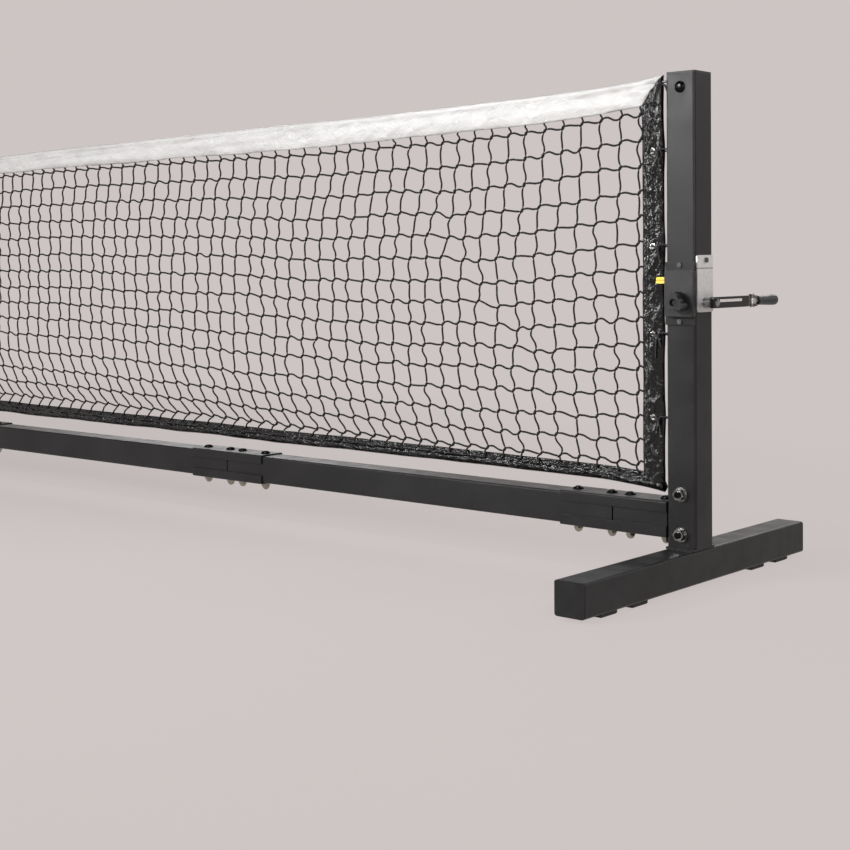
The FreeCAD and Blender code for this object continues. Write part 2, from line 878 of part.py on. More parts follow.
# Top bolts: the right one carries the pulley, the left one the cable's eye.
def make_top_hardware():
    head = turned(
        "top_bolt_dome",
        [
            (0, 0), ("top_bolt_head", 0), ("top_bolt_head", "top_bolt_rim"),
            ("top_bolt_head * 0.8", "top_bolt_dome * 0.67"),
            ("top_bolt_head * 0.45", "top_bolt_dome * 0.92"), (0, "top_bolt_dome"),
        ],
        (0, "-post_size / 2", 0),
        FreeCAD.Rotation(Vector(1, 0, 0), 90),
    )
    shank = rod("top_bolt_shank", "top_bolt_radius", "post_size + top_nut_height + top_bolt_tail", "Y",
                (0, "-post_size / 2", 0))
    bolt = fused("top_bolt_master", [head, shank])
    blank = hexagon("top_nut_hex", "top_nut_flats", "top_nut_height", "Y", (0, "post_size / 2", 0))
    bore = rod("top_nut_bore", "top_bolt_radius", "top_nut_height", "Y", (0, "post_size / 2", 0))
    nut = cut("top_nut_master", blank, [bore])
    half = size("post_spacing") / 2
    low = size("top_bolt_height")
    places = [(-half, 0, low + size("cable_on_pulley")), (half, 0, low)]
    repeated("top_bolts", bolt, places)
    repeated("top_nuts", nut, places)
    edge = "pulley_width / 2"
    slack = "cable_radius + groove_clear"
    floor = "cable_on_pulley - cable_radius - cable_clear"
    bore_radius = "top_bolt_radius + pulley_clear"
    pulley = turned(
        "pulley",
        [
            (bore_radius, "-" + edge), ("pulley_radius", "-" + edge),
            ("pulley_radius", "-(%s)" % slack), (floor, "-(%s)" % slack), (floor, slack),
            ("pulley_radius", slack), ("pulley_radius", edge), (bore_radius, edge),
        ],
        ("post_spacing / 2", 0, "top_bolt_height"),
        FACING["Y"],
    )
    node(pulley, "pulley")


def cable_slope():
    """Slope of the straight run from the middle of the net to the top of the pulley."""
    rise = size("top_bolt_height - cable_middle")
    reach = size("post_spacing / 2")
    return math.atan(rise / reach) + math.asin(size("cable_on_pulley") / math.hypot(rise, reach))


def cable_height(x):
    """Height of the cable's middle line above the floor, at a distance along the net."""
    return size("cable_middle") + abs(x) * math.tan(cable_slope())


def arc_bend(before, corner, after, radius):
    """The start, middle and end of the arc that rounds a corner."""
    back = (before - corner).normalize()
    ahead = (after - corner).normalize()
    half = back.getAngle(ahead) / 2
    reach = radius / math.tan(half)
    towards = (back + ahead).normalize()
    centre = corner + towards * (radius / math.sin(half))
    return corner + back * reach, centre - towards * radius, corner + ahead * reach


def make_cable():
    """The tension cable: eye at the left, along the tape, over the pulley and down to the spool."""
    slope = cable_slope()
    half = size("post_spacing / 2")
    radius = size("cable_on_pulley")
    pin = Vector(half, 0, size("top_bolt_height"))
    leaves = pin + Vector(-math.sin(slope), 0, math.cos(slope)) * radius
    half_way = (math.pi / 2 - slope) / 2
    over = pin + Vector(math.sin(half_way), 0, math.cos(half_way)) * radius
    beside = pin + Vector(radius, 0, 0)
    start = Vector(-half + size("top_bolt_radius + cable_eye_gap"), 0, cable_height(half))
    middle = Vector(0, 0, size("cable_middle"))
    lower = Vector(half + radius, 0, size("top_bolt_height - cable_drop"))
    spool_side = size("wound_radius + cable_radius + cable_clear")
    centre = size("(spool_left + spool_right) / 2")
    end = Vector(half + centre, -spool_side, size("shaft_height"))
    first = arc_bend(start, middle, leaves, size("cable_middle_bend"))
    second = arc_bend(beside, lower, end, size("cable_lower_bend"))
    edges = [
        Part.LineSegment(start, first[0]).toShape(),
        Part.Arc(*first).toShape(),
        Part.LineSegment(first[2], leaves).toShape(),
        Part.Arc(leaves, over, beside).toShape(),
        Part.LineSegment(beside, second[0]).toShape(),
        Part.Arc(*second).toShape(),
        Part.LineSegment(second[2], end).toShape(),
    ]
    route = Part.Wire(edges)
    ring = Part.Circle(start, first[0] - start, size("cable_radius")).toShape()
    tube = route.makePipeShell([Part.Wire([ring])], True, False)
    area = math.pi * size("cable_radius") ** 2
    print("cable length %.1f mm, volume over section times length %.4f" % (
        route.Length, tube.Volume / (area * route.Length)))
    wire = size("cable_eye_wire")
    eye = Part.makeTorus(size("top_bolt_radius + cable_clear") + wire, wire, Vector(-half, 0, start.z),
                         Vector(0, 1, 0))
    plain("tension_cable", tube.fuse(eye).removeSplitter())


# The net and its cloth edges. Every outline lies in the X Z plane and is given a thickness along Y.
def slab(outline, half_thick, holes=()):
    """A closed outline of X and Z, with any holes, made a solid of even thickness round Y zero."""
    def ring(points):
        corners = [Vector(x, -half_thick, z) for x, z in points]
        return Part.makePolygon(corners + corners[:1])

    face = Part.makeFace([ring(outline)] + [ring(hole) for hole in holes], "Part::FaceMakerBullseye")
    return face.extrude(Vector(0, 2 * half_thick, 0))


def tape_top(x):
    return cable_height(x) + size("tape_above_cable")


def tape_bottom(x):
    return tape_top(x) - size("tape_height")


def cable_sleeve():
    """The room round the cable, all along the top edge."""
    reach = size("post_spacing / 2")
    room = size("cable_channel")
    upper = [(x, cable_height(x) + room) for x in (-reach, 0, reach)]
    lower = [(x, cable_height(x) - room) for x in (reach, 0, -reach)]
    return slab(upper + lower, room)


def make_cloth_edges():
    """Top tape, side bands and bottom band."""
    end = size("post_spacing / 2 - net_end")
    inner = end - size("band_width")
    seam = end - size("net_end * seam_share")
    seam_foot = seam - size("seam_lean")
    tape = [
        (-seam, tape_top(seam)), (0, tape_top(0)), (seam, tape_top(seam)),
        (seam_foot, tape_bottom(seam_foot)), (0, tape_bottom(0)), (-seam_foot, tape_bottom(seam_foot)),
    ]
    sleeve = cable_sleeve()
    plain("top_tape", slab(tape, size("tape_half_thick")).cut(sleeve))
    level = size("band_bottom")
    for side, sign in SIDES.items():
        band = [
            (sign * inner, level), (sign * end, level), (sign * end, tape_top(end)),
            (sign * seam, tape_top(seam)), (sign * seam_foot, tape_bottom(seam_foot)),
            (sign * inner, tape_bottom(inner)),
        ]
        corner = band[2:5] + [(sign * end, tape_bottom(end))]
        solid = slab(band, size("band_half_thick")).fuse(slab(corner, size("tape_half_thick")))
        through = 4 * size("band_half_thick")
        holes = [
            Part.makeCylinder(size("grommet_hole + grommet_wall"), through, Vector(x, -through / 2, z),
                              Vector(0, 1, 0))
            for x, z in grommet_places(sign)
        ]
        plain(side + "_side_band", solid.cut(sleeve).cut(Part.makeCompound(holes)))
    hem = [(-inner, size("hem_bottom")), (inner, size("hem_bottom")), (inner, size("hem_top")),
           (-inner, size("hem_top"))]
    plain("bottom_band", slab(hem, size("hem_half_thick")))


GROMMET_HEIGHTS = (300, 453, 614, 788)


def grommet_places(sign):
    """X and height of the grommets on one side."""
    x = sign * (size("post_spacing / 2") - size("grommet_from_post"))
    return [(x, height) for height in GROMMET_HEIGHTS]


NET_COLUMNS = 50
NET_ROWS = 6


def make_net():
    """The mesh as one holed sheet: square gaps in even columns and rows between its cloth edges."""
    inner = size("post_spacing / 2 - net_end - band_width")
    low = size("hem_top")
    outline = [(-inner, low), (inner, low), (inner, tape_bottom(inner)), (0, tape_bottom(0)),
               (-inner, tape_bottom(inner))]
    cord = size("net_cord") / 2
    holes = []
    column = 2 * inner / NET_COLUMNS
    for number in range(NET_COLUMNS):
        left = -inner + number * column + cord
        right = left + column - 2 * cord
        for row in range(NET_ROWS):
            corners = []
            for x, share, inset in (
                (left, row, cord), (right, row, cord), (right, row + 1, -cord), (left, row + 1, -cord)
            ):
                height = low + (tape_bottom(x) - low) * share / NET_ROWS + inset
                corners.append((x, height))
            holes.append(corners)
    plain("net", slab(outline, size("net_half_thick"), holes))


def make_ties():
    """Grommets, eyes on the posts, and the ties: cord loops and the top corner straps."""
    grommets = []
    eyes = []
    ties = []
    half = size("post_spacing / 2")
    for sign in SIDES.values():
        eye_x = sign * (half - size("post_size / 2 + eye_from_post"))
        for x, z in grommet_places(sign):
            grommets.append(grommet(x, z))
            eyes.append(eye(sign, eye_x, z))
            ties.append(cord_loop(x, eye_x, z))
        ties.append(corner_strap(sign))
    plain("grommets", Part.makeCompound(grommets))
    plain("tie_eyes", Part.makeCompound(eyes))
    plain("net_ties", Part.makeCompound(ties))


def grommet(x, z):
    """A metal eyelet: a sleeve through the band with a rim on each face."""
    inner = size("grommet_hole")
    outer = inner + size("grommet_wall")
    face = size("band_half_thick")
    rim = size("grommet_rim")
    bead = face + size("grommet_bead")
    edge = face + size("grommet_edge")
    outline = [
        (inner, -bead), (rim, -edge), (rim, -face), (outer, -face), (outer, face), (rim, face),
        (rim, edge), (inner, bead),
    ]
    corners = [Vector(x + radius, y, z) for radius, y in outline]
    section = Part.Face(Part.makePolygon(corners + corners[:1]))
    return section.revolve(Vector(x, 0, z), Vector(0, 1, 0), 360)


def eye(sign, x, z):
    """A wire ring on a short shank that enters the post's inner face."""
    wire = size("eye_wire")
    ring = Part.makeTorus(size("eye_ring"), wire, Vector(x, 0, z), Vector(0, 1, 0))
    face = sign * size("post_spacing / 2 - post_size / 2")
    start = x + sign * (size("eye_ring") + wire / 2)
    shank = Part.makeCylinder(wire, abs(face - start), Vector(start, 0, z), Vector(sign, 0, 0))
    return ring.fuse(shank)


def cord_loop(x_band, x_eye, z):
    """A closed loop of cord through the grommet and the eye, flat at one height."""
    radius = size("tie_half_width")
    ahead = 1 if x_eye > x_band else -1
    near = x_band + ahead * radius
    far = x_eye - ahead * radius
    route = Part.Wire([
        Part.LineSegment(Vector(near, radius, z), Vector(far, radius, z)).toShape(),
        Part.Arc(Vector(far, radius, z), Vector(x_eye, 0, z), Vector(far, -radius, z)).toShape(),
        Part.LineSegment(Vector(far, -radius, z), Vector(near, -radius, z)).toShape(),
        Part.Arc(Vector(near, -radius, z), Vector(x_band, 0, z), Vector(near, radius, z)).toShape(),
    ])
    ring = Part.Circle(Vector(near, radius, z), Vector(1, 0, 0), size("tie_radius")).toShape()
    return route.makePipeShell([Part.Wire([ring])], True, False)


def corner_strap(sign):
    """A short strap from the net's top corner down to the post."""
    half = size("post_spacing / 2")
    near = half - size("net_end")
    far = half - size("post_size / 2")
    start = size("corner_strap_start")
    end = size("corner_strap_end")
    thick = size("corner_strap_thick")
    bend = near + size("corner_strap_bend")
    outline = [
        (sign * near, start), (sign * bend, start + thick),
        (sign * far, end + thick), (sign * far, end - thick),
    ]
    return slab(outline, size("corner_strap_half_width"))


# Centre strap: a closed loop of webbing over the tape and under an anchor bar on the beam.
def make_centre_strap():
    side = "strap_half_depth"
    top = "cable_middle + tape_above_cable + strap_thick + strap_over"
    foot = "strap_foot"
    outer = [
        ("-" + side, top), (side, top), (side, "strap_foot + strap_taper"),
        ("anchor_bar + strap_thick + strap_clear", foot), ("-(anchor_bar + strap_thick + strap_clear)", foot),
        ("-" + side, "strap_foot + strap_taper"),
    ]
    inner_side = "strap_half_depth - strap_thick"
    inner = [
        ("-(%s)" % inner_side, top + " - strap_thick"), (inner_side, top + " - strap_thick"),
        (inner_side, "strap_foot + strap_taper"), ("anchor_bar + strap_clear", foot + " + strap_thick"),
        ("-(anchor_bar + strap_clear)", foot + " + strap_thick"),
        ("-(%s)" % inner_side, "strap_foot + strap_taper"),
    ]
    owner = body("centre_strap_loop")
    outline = sketch_on(owner, "YZ_Plane", "centre_strap_outline")
    draw(outline, outer)
    draw(outline, inner)
    pad(owner, outline, "strap_width", middle=True)
    node(owner, "centre_strap")
    reach = "anchor_reach"
    seat = "beam_bottom + beam_size + channel_thick"
    bar = rod("anchor_rod", "anchor_bar", "2 * anchor_reach", "X", ("-" + reach, 0, "anchor_height"))
    pieces = [bar]
    for side_name, sign in SIDES.items():
        leg_x = "%d * anchor_reach" % sign
        leg_height = "anchor_height + anchor_bar - (%s)" % seat
        pieces.append(block(side_name + "_anchor_leg", ("anchor_leg_width", "anchor_leg_depth", leg_height),
                            (leg_x + " - anchor_leg_width / 2", "-anchor_leg_depth / 2", seat)))
        pieces.append(block(side_name + "_anchor_foot",
                            ("anchor_foot_width", "anchor_foot_depth", "anchor_foot_thick"),
                            (leg_x + " - anchor_foot_width / 2", "-anchor_foot_depth / 2", seat)))
    node(fused("strap_anchor", pieces), "strap_anchor")
    frame = block("slider_frame", ("strap_width + 2 * slider_side", "slider_depth", "slider_height"),
                  ("-strap_width / 2 - slider_side", "-slider_front", "slider_bottom"))
    window = block("slider_window",
                   ("strap_width + slider_gap", "strap_thick + slider_slack", "slider_height + 2"),
                   ("-(strap_width + slider_gap) / 2", "-strap_half_depth - slider_slack / 2",
                    "slider_bottom - 1"))
    node(cut("strap_slider", frame, [window]), "strap_slider")


# Crank gear on the right post.
GEAR_X = "post_spacing / 2"
FRONT = "-post_size / 2"


def make_winch_case():
    """Mounting flange, box cover and their screws on the front face, plate on the outer face."""
    back = FRONT + " - winch_flange_thick"
    plate = block("winch_flange_plate",
                  ("post_size", "winch_flange_thick", "winch_flange_top - winch_flange_bottom"),
                  (GEAR_X + " - post_size / 2", back, "winch_flange_bottom"))
    through = "2 * winch_flange_thick"
    stud = rod("flange_stud_hole", "stud_radius + stud_clear", through, "Y",
               (GEAR_X + " + stud_offset", back + " - 1", "stud_height"))
    slot = block("flange_pawl_slot", ("pawl_slot_width", through, "pawl_slot_height"),
                 (GEAR_X + " + ratchet_left - 1", back + " - 1", "pawl_slot_bottom"))
    screw_hole = "gear_screw_radius + gear_screw_clear"
    screw_holes = [
        rod("flange_" + height, screw_hole, through, "Y", (GEAR_X, back + " - 1", height))
        for height in ("flange_screw_low", "flange_screw_high")
    ]
    node(cut("winch_flange", plate, [stud, slot] + screw_holes), "winch_flange")
    tall = "cover_top - cover_bottom"
    shell = body("winch_cover_shell",
                 (GEAR_X + " + cover_shift", back + " - cover_depth / 2", "(cover_bottom + cover_top) / 2"))
    front = sketch_on(shell, "XZ_Plane", "winch_cover_face")
    rectangle(front, "2 * cover_half_width", tall)
    box = pad(shell, front, "cover_depth", middle=True)
    sides = long_edges(box.Shape, "Y", size("cover_half_width") - 1)
    round_edges(shell, box, sides, "cover_corner")
    inside = "2 * (cover_half_width - cover_wall)"
    well = block("winch_cover_well", (inside, "cover_depth - cover_wall", tall + " - 2 * cover_wall"),
                 (GEAR_X + " + cover_shift - cover_half_width + cover_wall",
                  back + " - cover_depth + cover_wall", "cover_bottom + cover_wall"))
    stud_hole = rod("cover_stud_hole", "stud_radius + stud_clear", "3 * cover_wall", "Y",
                    (GEAR_X + " + stud_offset", back + " - cover_depth - cover_wall", "stud_height"))
    pivot_hole = rod("cover_pivot_hole", "pawl_pivot_radius + thread_clear", "3 * cover_half_width", "X",
                     (GEAR_X + " - 1.5 * cover_half_width", "-pawl_pivot_out", "pawl_pivot_height"))
    node(cut("winch_cover", shell, [well, stud_hole, pivot_hole]), "winch_cover")
    screws = []
    for height in ("flange_screw_low", "flange_screw_high"):
        head = rod(height + "_head", "gear_screw_head", "gear_screw_head_height", "Y",
                   (GEAR_X, back + " - gear_screw_head_height", height))
        shank = rod(height + "_shank", "gear_screw_radius", "flange_screw_length", "Y",
                    (GEAR_X, back, height))
        screws.append(fused(height + "_screw", [head, shank]))
    outer = GEAR_X + " + post_size / 2"
    face = outer + " + crank_plate_thick"
    head = rod("plate_screw_head", "gear_screw_head", "gear_screw_head_height", "X",
               (face, "plate_screw_side", "crank_plate_screw"))
    shank = rod("plate_screw_shank", "gear_screw_radius", "plate_screw_length", "X",
                (face + " - plate_screw_length", "plate_screw_side", "crank_plate_screw"))
    screws.append(fused("plate_screw", [head, shank]))
    node(joined("winch_screws", screws), "winch_screws")
    high = "crank_plate_top - crank_plate_bottom"
    sheet = body("crank_plate_sheet", (outer, 0, "(crank_plate_top + crank_plate_bottom) / 2"))
    outline = sketch_on(sheet, "YZ_Plane", "crank_plate_outline")
    rectangle(outline, "crank_plate_width", high)
    flat = pad(sheet, outline, "crank_plate_thick")
    corners = long_edges(flat.Shape, "X", size("crank_plate_width") / 2 - 1)
    round_edges(sheet, flat, corners, "crank_plate_corner")
    depth = "3 * crank_plate_thick"
    inside = outer + " - crank_plate_thick"
    shaft_hole = rod("crank_plate_shaft_hole", "journal_radius + crank_plate_clear", depth, "X",
                     (inside, 0, "shaft_height"))
    screw_hole = rod("crank_plate_screw_hole", screw_hole, depth, "X",
                     (inside, "plate_screw_side", "crank_plate_screw"))
    node(cut("crank_plate", sheet, [shaft_hole, screw_hole]), "crank_plate")


def make_shaft():
    """Bushes in the post, the crank shaft with its fluted collar, the spool and the ratchet wheel."""
    run = "journal_radius + bush_clear"
    bushes = []
    for side, sign in SIDES.items():
        wall_out = "post_size / 2"
        wall_in = "post_size / 2 - post_wall"
        rim_in = wall_in + " - bush_rim_thick"
        body_out = "journal_radius + bush_wall"
        rim_out = "journal_radius + bush_rim"
        outline = [
            (run, wall_out), (body_out, wall_out), (body_out, wall_in), (rim_out, wall_in), (rim_out, rim_in),
            (run, rim_in),
        ]
        facing = FACING["X"] if sign > 0 else FreeCAD.Rotation(Vector(0, 1, 0), -90)
        bushes.append(turned(side + "_bush", outline, (GEAR_X, 0, "shaft_height"), facing))
    node(joined("shaft_bushes", bushes), "shaft_bushes")
    outer = "post_size / 2 + crank_plate_thick"
    journal = rod("shaft_journal", "journal_radius", "post_size + crank_plate_thick + collar_gap", "X",
                  (GEAR_X + " - post_size / 2", 0, "shaft_height"))
    collar = rod("shaft_collar", "collar_radius", "arm_inner - (%s) - collar_gap" % outer, "X",
                 (GEAR_X + " + %s + collar_gap" % outer, 0, "shaft_height"))
    drive = block("shaft_drive", ("arm_thick", "drive_square", "drive_square"),
                  (GEAR_X + " + arm_inner", "-drive_square / 2", "shaft_height - drive_square / 2"))
    button = turned(
        "shaft_button",
        [
            (0, 0), ("button_radius", 0), ("button_radius", "button_height / 3"),
            ("button_radius * 0.71", "button_height * 0.87"), (0, "button_height"),
        ],
        (GEAR_X + " + arm_inner + arm_thick", 0, "shaft_height"), FACING["X"],
    )
    flutes = []
    count = int(size("flutes"))
    for number in range(count):
        angle = 2 * math.pi * number / count
        y = "collar_radius * %.5f" % math.cos(angle)
        z = "shaft_height + collar_radius * %.5f" % math.sin(angle)
        flutes.append(rod("flute_%d" % number, "flute_radius",
                          "arm_inner - (%s) - collar_gap - 2 * flute_end" % outer, "X",
                          (GEAR_X + " + %s + collar_gap + flute_end" % outer, y, z)))
    fluted = cut("shaft_fluted_collar", collar, flutes)
    node(fused("crank_shaft", [journal, fluted, drive, button]), "crank_shaft")
    flange = "spool_rim"
    spool = turned(
        "spool",
        [
            ("journal_radius", "spool_left"), ("spool_flange", "spool_left"),
            ("spool_flange", "spool_left + " + flange), ("spool_core", "spool_left + " + flange),
            ("spool_core", "spool_right - " + flange), ("spool_flange", "spool_right - " + flange),
            ("spool_flange", "spool_right"), ("journal_radius", "spool_right"),
        ],
        (GEAR_X, 0, "shaft_height"), FACING["X"],
    )
    node(spool, "spool")
    wound = turned(
        "wound_cable",
        [
            ("spool_core", "spool_left + wound_gap"), ("wound_radius", "spool_left + wound_gap"),
            ("wound_radius", "spool_right - wound_gap"), ("spool_core", "spool_right - wound_gap"),
        ],
        (GEAR_X, 0, "shaft_height"), FACING["X"],
    )
    node(wound, "wound_cable")


def pawl_line():
    """The pawl's pivot and tip in the Y Z plane, and the angle of the tip round the shaft."""
    pivot = Vector(0, -size("pawl_pivot_out"), size("pawl_pivot_height"))
    centre = Vector(0, 0, size("shaft_height"))
    away = pivot - centre
    angle = math.atan2(away.z, away.y) + math.acos(size("pawl_middle") / away.Length)
    tip = centre + Vector(0, math.cos(angle), math.sin(angle)) * size("pawl_middle")
    return pivot, tip, angle


def make_ratchet():
    """The toothed wheel, with a steep tooth face just beyond the engaged pawl's tip, and the pawl.

    The pawl and its release tab are shown lifted clear of the teeth.
    """
    pivot, tip, angle = pawl_line()
    centre = Vector(0, 0, size("shaft_height"))
    teeth = int(size("ratchet_teeth"))
    steep = math.radians(size("tooth_lean"))
    clear = math.radians(size("tooth_clear"))
    left = size(GEAR_X + " + ratchet_left")
    wide = size("ratchet_width")
    corners = []
    for number in range(teeth):
        start = angle + clear + 2 * math.pi * number / teeth
        for radius, turn in ((size("ratchet_root"), start), (size("ratchet_tip"), start + steep)):
            corners.append(centre + Vector(left, radius * math.cos(turn), radius * math.sin(turn)))
    wheel = Part.Face(Part.makePolygon(corners + corners[:1])).extrude(Vector(wide, 0, 0))
    bore_start = Vector(left - wide, 0, centre.z)
    bore = Part.makeCylinder(size("journal_radius"), 3 * wide, bore_start, Vector(1, 0, 0))
    plain("ratchet_wheel", wheel.cut(bore))
    along = (tip - pivot).normalize()
    beside = Vector(0, -along.z, along.y) * (size("pawl_thick") / 2)
    side_gap = size("pawl_side_gap")
    shift = Vector(left + side_gap, 0, 0)
    finger = [pivot + beside, tip + beside, tip - beside, pivot - beside]
    finger = [point + shift for point in finger]
    width = Vector(wide - 2 * side_gap, 0, 0)
    blade = Part.Face(Part.makePolygon(finger + finger[:1])).extrude(width)
    boss = Part.makeCylinder(size("pawl_boss"), width.x, pivot + shift, Vector(1, 0, 0))
    reach = size("cover_half_width")
    pin_start = pivot + Vector(size(GEAR_X) - reach - size("pawl_pin_out"), 0, 0)
    pin = Part.makeCylinder(size("pawl_pivot_radius"), 2 * reach + size("pawl_pin_extra"), pin_start,
                            Vector(1, 0, 0))
    tab_x = size(GEAR_X) - reach - size("tab_out")
    deep = size("tab_depth")
    tall = size("tab_height")
    tab = Part.makeBox(size("tab_length"), deep, tall, Vector(tab_x, pivot.y - deep / 2, pivot.z - tall / 2))
    outer_edges = [
        edge for edge in tab.Edges if edge.BoundBox.XMax < tab_x + 1e-6 and edge.BoundBox.YLength > 1
    ]
    tab = tab.makeChamfer(size("tab_chamfer"), outer_edges)
    for name, shape in (("pawl", blade.fuse([boss, pin])), ("release_lever", tab.cut(pin))):
        shape.rotate(pivot, Vector(-1, 0, 0), size("pawl_lift"))
        plain(name, Part.makeCompound([shape]))


def make_knob():
    """The lock knob with three lobes, its stud and the pad that presses on the shaft."""
    face = "post_size / 2 + winch_flange_thick + cover_depth"
    away = FreeCAD.Rotation(Vector(1, 0, 0), 90)
    at = (GEAR_X + " + stud_offset", "-(%s) - knob_gap" % face, "stud_height")
    owner = body("knob_body")
    place(owner, *at, turn=away)
    middle = sketch_on(owner, "XY_Plane", "knob_middle")
    middle.addGeometry(Part.Circle(Vector(), Vector(0, 0, 1), size("knob_radius")), False)
    middle.addConstraint(Sketcher.Constraint("Coincident", 0, 3, -1, 1))
    radius = middle.addConstraint(Sketcher.Constraint("Radius", 0, size("knob_radius")))
    middle.setExpression("Constraints[%d]" % radius, linked("knob_radius"))
    pad(owner, middle, "knob_depth")
    lobe = sketch_on(owner, "XY_Plane", "knob_lobe")
    lobe_centre = Vector(0, size("knob_lobe_out"), 0)
    lobe.addGeometry(Part.Circle(lobe_centre, Vector(0, 0, 1), size("knob_lobe")), False)
    lobe.addConstraint(Sketcher.Constraint("PointOnObject", 0, 3, -2))
    lobe_radius = lobe.addConstraint(Sketcher.Constraint("Radius", 0, size("knob_lobe")))
    lobe.setExpression("Constraints[%d]" % lobe_radius, linked("knob_lobe"))
    lobe_out = lobe.addConstraint(Sketcher.Constraint("DistanceY", -1, 1, 0, 3, size("knob_lobe_out")))
    lobe.setExpression("Constraints[%d]" % lobe_out, linked("knob_lobe_out"))
    lobe_pad = pad(owner, lobe, "knob_depth")
    pattern = owner.newObject("PartDesign::PolarPattern", "knob_lobes")
    pattern.Originals = [lobe_pad]
    axis = next(each for each in owner.Origin.OriginFeatures if each.Role == "Z_Axis")
    pattern.Axis = (axis, [""])
    pattern.Angle = 360
    pattern.Occurrences = 3
    owner.Tip = pattern
    doc.recompute()
    dimple = rod("knob_dimple", "dimple_radius", "dimple_depth + 1", "Y",
                 (at[0], at[1] + " - knob_depth - 1", at[2]))
    waist = ring_cut("knob_waist_ring", at, "knob_skirt", "knob_radius + knob_waist_out", "knob_waist")
    bore = rod("knob_bore", "stud_radius", "knob_depth + 2 * dimple_depth", "Y",
               (at[0], at[1] + " - knob_depth + knob_bore_end", at[2]))
    node(cut("lock_knob", owner, [dimple, waist, bore]), "lock_knob")
    tip = "journal_radius + stud_tip"
    stud = rod("stud_rod", "stud_radius", "(%s) + knob_gap + knob_depth - knob_bore_end - (%s)" % (face, tip),
               "Y", (at[0], at[1] + " - knob_depth + knob_bore_end", at[2]))
    node(stud, "lock_stud")
    pad_piece = rod("plunger_rod", "stud_radius - plunger_step", "plunger_thick", "Y",
                    (at[0], "-(%s) + plunger_gap" % tip, at[2]))
    node(pad_piece, "lock_plunger")


def ring_cut(name, at, inner, outer, depth):
    """A ring-shaped tool that narrows the knob behind its lobes."""
    whole = rod(name + "_whole", outer, depth, "Y", (at[0], at[1] + " - %s" % depth, at[2]))
    core = rod(name + "_core", inner, depth, "Y", (at[0], at[1] + " - %s" % depth, at[2]))
    return cut(name, whole, [core])


def make_crank():
    """The crank arm, the clevis at its end, the hinge pin, and the grip on its spindle."""
    inner = GEAR_X + " + arm_inner"
    low = "shaft_height - arm_height / 2"
    owner = body("crank_arm_bar", (inner + " + arm_thick / 2", "(arm_far - arm_near) / 2", "shaft_height"))
    face = sketch_on(owner, "YZ_Plane", "crank_arm_face")
    rectangle(face, "arm_far + arm_near", "arm_height")
    bar = pad(owner, face, "arm_thick", middle=True)
    round_edges(owner, bar, long_edges(bar.Shape, "X", size("arm_height") / 2 - 1), "arm_corner")
    square = block("arm_square_hole", ("3 * arm_thick", "drive_square", "drive_square"),
                   (inner + " - arm_thick", "-drive_square / 2", "shaft_height - drive_square / 2"))
    recess = block("arm_recess", ("arm_slot_depth + 1", "arm_slot_length", "arm_slot_height"),
                   (inner + " + arm_thick - arm_slot_depth", "arm_slot_start", "shaft_height"))
    node(cut("crank_arm", owner, [square, recess]), "crank_arm")
    hinge_x = inner + " + arm_thick / 2"
    heel = block("clevis_heel_block", ("arm_thick", "clevis_heel", "arm_height"), (inner, "arm_far", low))
    cheek_thick = "arm_height / 2 - tongue_half - tongue_gap"
    cheeks = []
    for side, start in (("lower", low), ("upper", "shaft_height + tongue_half + tongue_gap")):
        cheeks.append(block(side + "_cheek", ("arm_thick", "hinge_out - arm_far", cheek_thick),
                            (inner, "arm_far", start)))
        cheeks.append(rod(side + "_cheek_end", "clevis_end", cheek_thick, "Z", (hinge_x, "hinge_out", start)))
    pin_hole = rod("clevis_pin_hole", "hinge_pin_radius", "2 * arm_height", "Z",
                   (hinge_x, "hinge_out", "shaft_height - arm_height"))
    node(cut("grip_clevis", fused("grip_clevis_solid", [heel] + cheeks), [pin_hole]), "grip_clevis")
    shank = rod("hinge_pin_shank", "hinge_pin_radius", "arm_height", "Z", (hinge_x, "hinge_out", low))
    lower = rod("hinge_pin_lower", "hinge_head_radius", "hinge_head_height", "Z",
                (hinge_x, "hinge_out", low + " - hinge_head_height"))
    upper = hexagon("hinge_pin_upper", "hinge_nut_flats", "hinge_nut_height", "Z",
                    (hinge_x, "hinge_out", "shaft_height + arm_height / 2"))
    node(fused("hinge_pin", [shank, lower, upper]), "hinge_pin")
    barrel = rod("spindle_barrel", "barrel_radius", "2 * tongue_half", "Z",
                 (hinge_x, "hinge_out", "shaft_height - tongue_half"))
    neck = rod("spindle_neck", "tongue_half - neck_step", "grip_start - hinge_out - spindle_start", "Y",
               (hinge_x, "hinge_out", "shaft_height"))
    spindle = rod("spindle_rod", "spindle_radius", "grip_end - grip_start - spindle_short", "Y",
                  (hinge_x, "grip_start - spindle_start", "shaft_height"))
    eye_hole = rod("spindle_pin_hole", "hinge_pin_radius + bush_clear", "2 * arm_height", "Z",
                   (hinge_x, "hinge_out", "shaft_height - arm_height"))
    solid = fused("grip_spindle_solid", [barrel, neck, spindle])
    node(cut("grip_spindle", solid, [eye_hole]), "grip_spindle")
    length = "grip_end - grip_start"
    sleeve = turned(
        "grip_sleeve",
        [
            (0, length), ("grip_radius * 0.68", length), ("grip_radius * 1.03", "(%s) * 0.94" % length),
            ("grip_radius * 1.05", "(%s) * 0.8" % length), ("grip_radius * 0.87", "(%s) * 0.14" % length),
            ("grip_radius * 0.92", "(%s) * 0.04" % length), ("grip_radius * 0.83", 0), (0, 0),
        ],
        (hinge_x, "grip_start", "shaft_height"), FACING["Y"],
    )
    bore = rod("grip_bore", "spindle_radius + spindle_clear", "grip_end - grip_start - bore_short", "Y",
               (hinge_x, "grip_start", "shaft_height"))
    node(cut("grip", sleeve, [bore]), "grip")


def check(thing):
    """Stops the build at an object that failed."""
    if "Invalid" in thing.State or "Error" in thing.State:
        raise RuntimeError("%s failed: %s" % (thing.Name, thing.State))


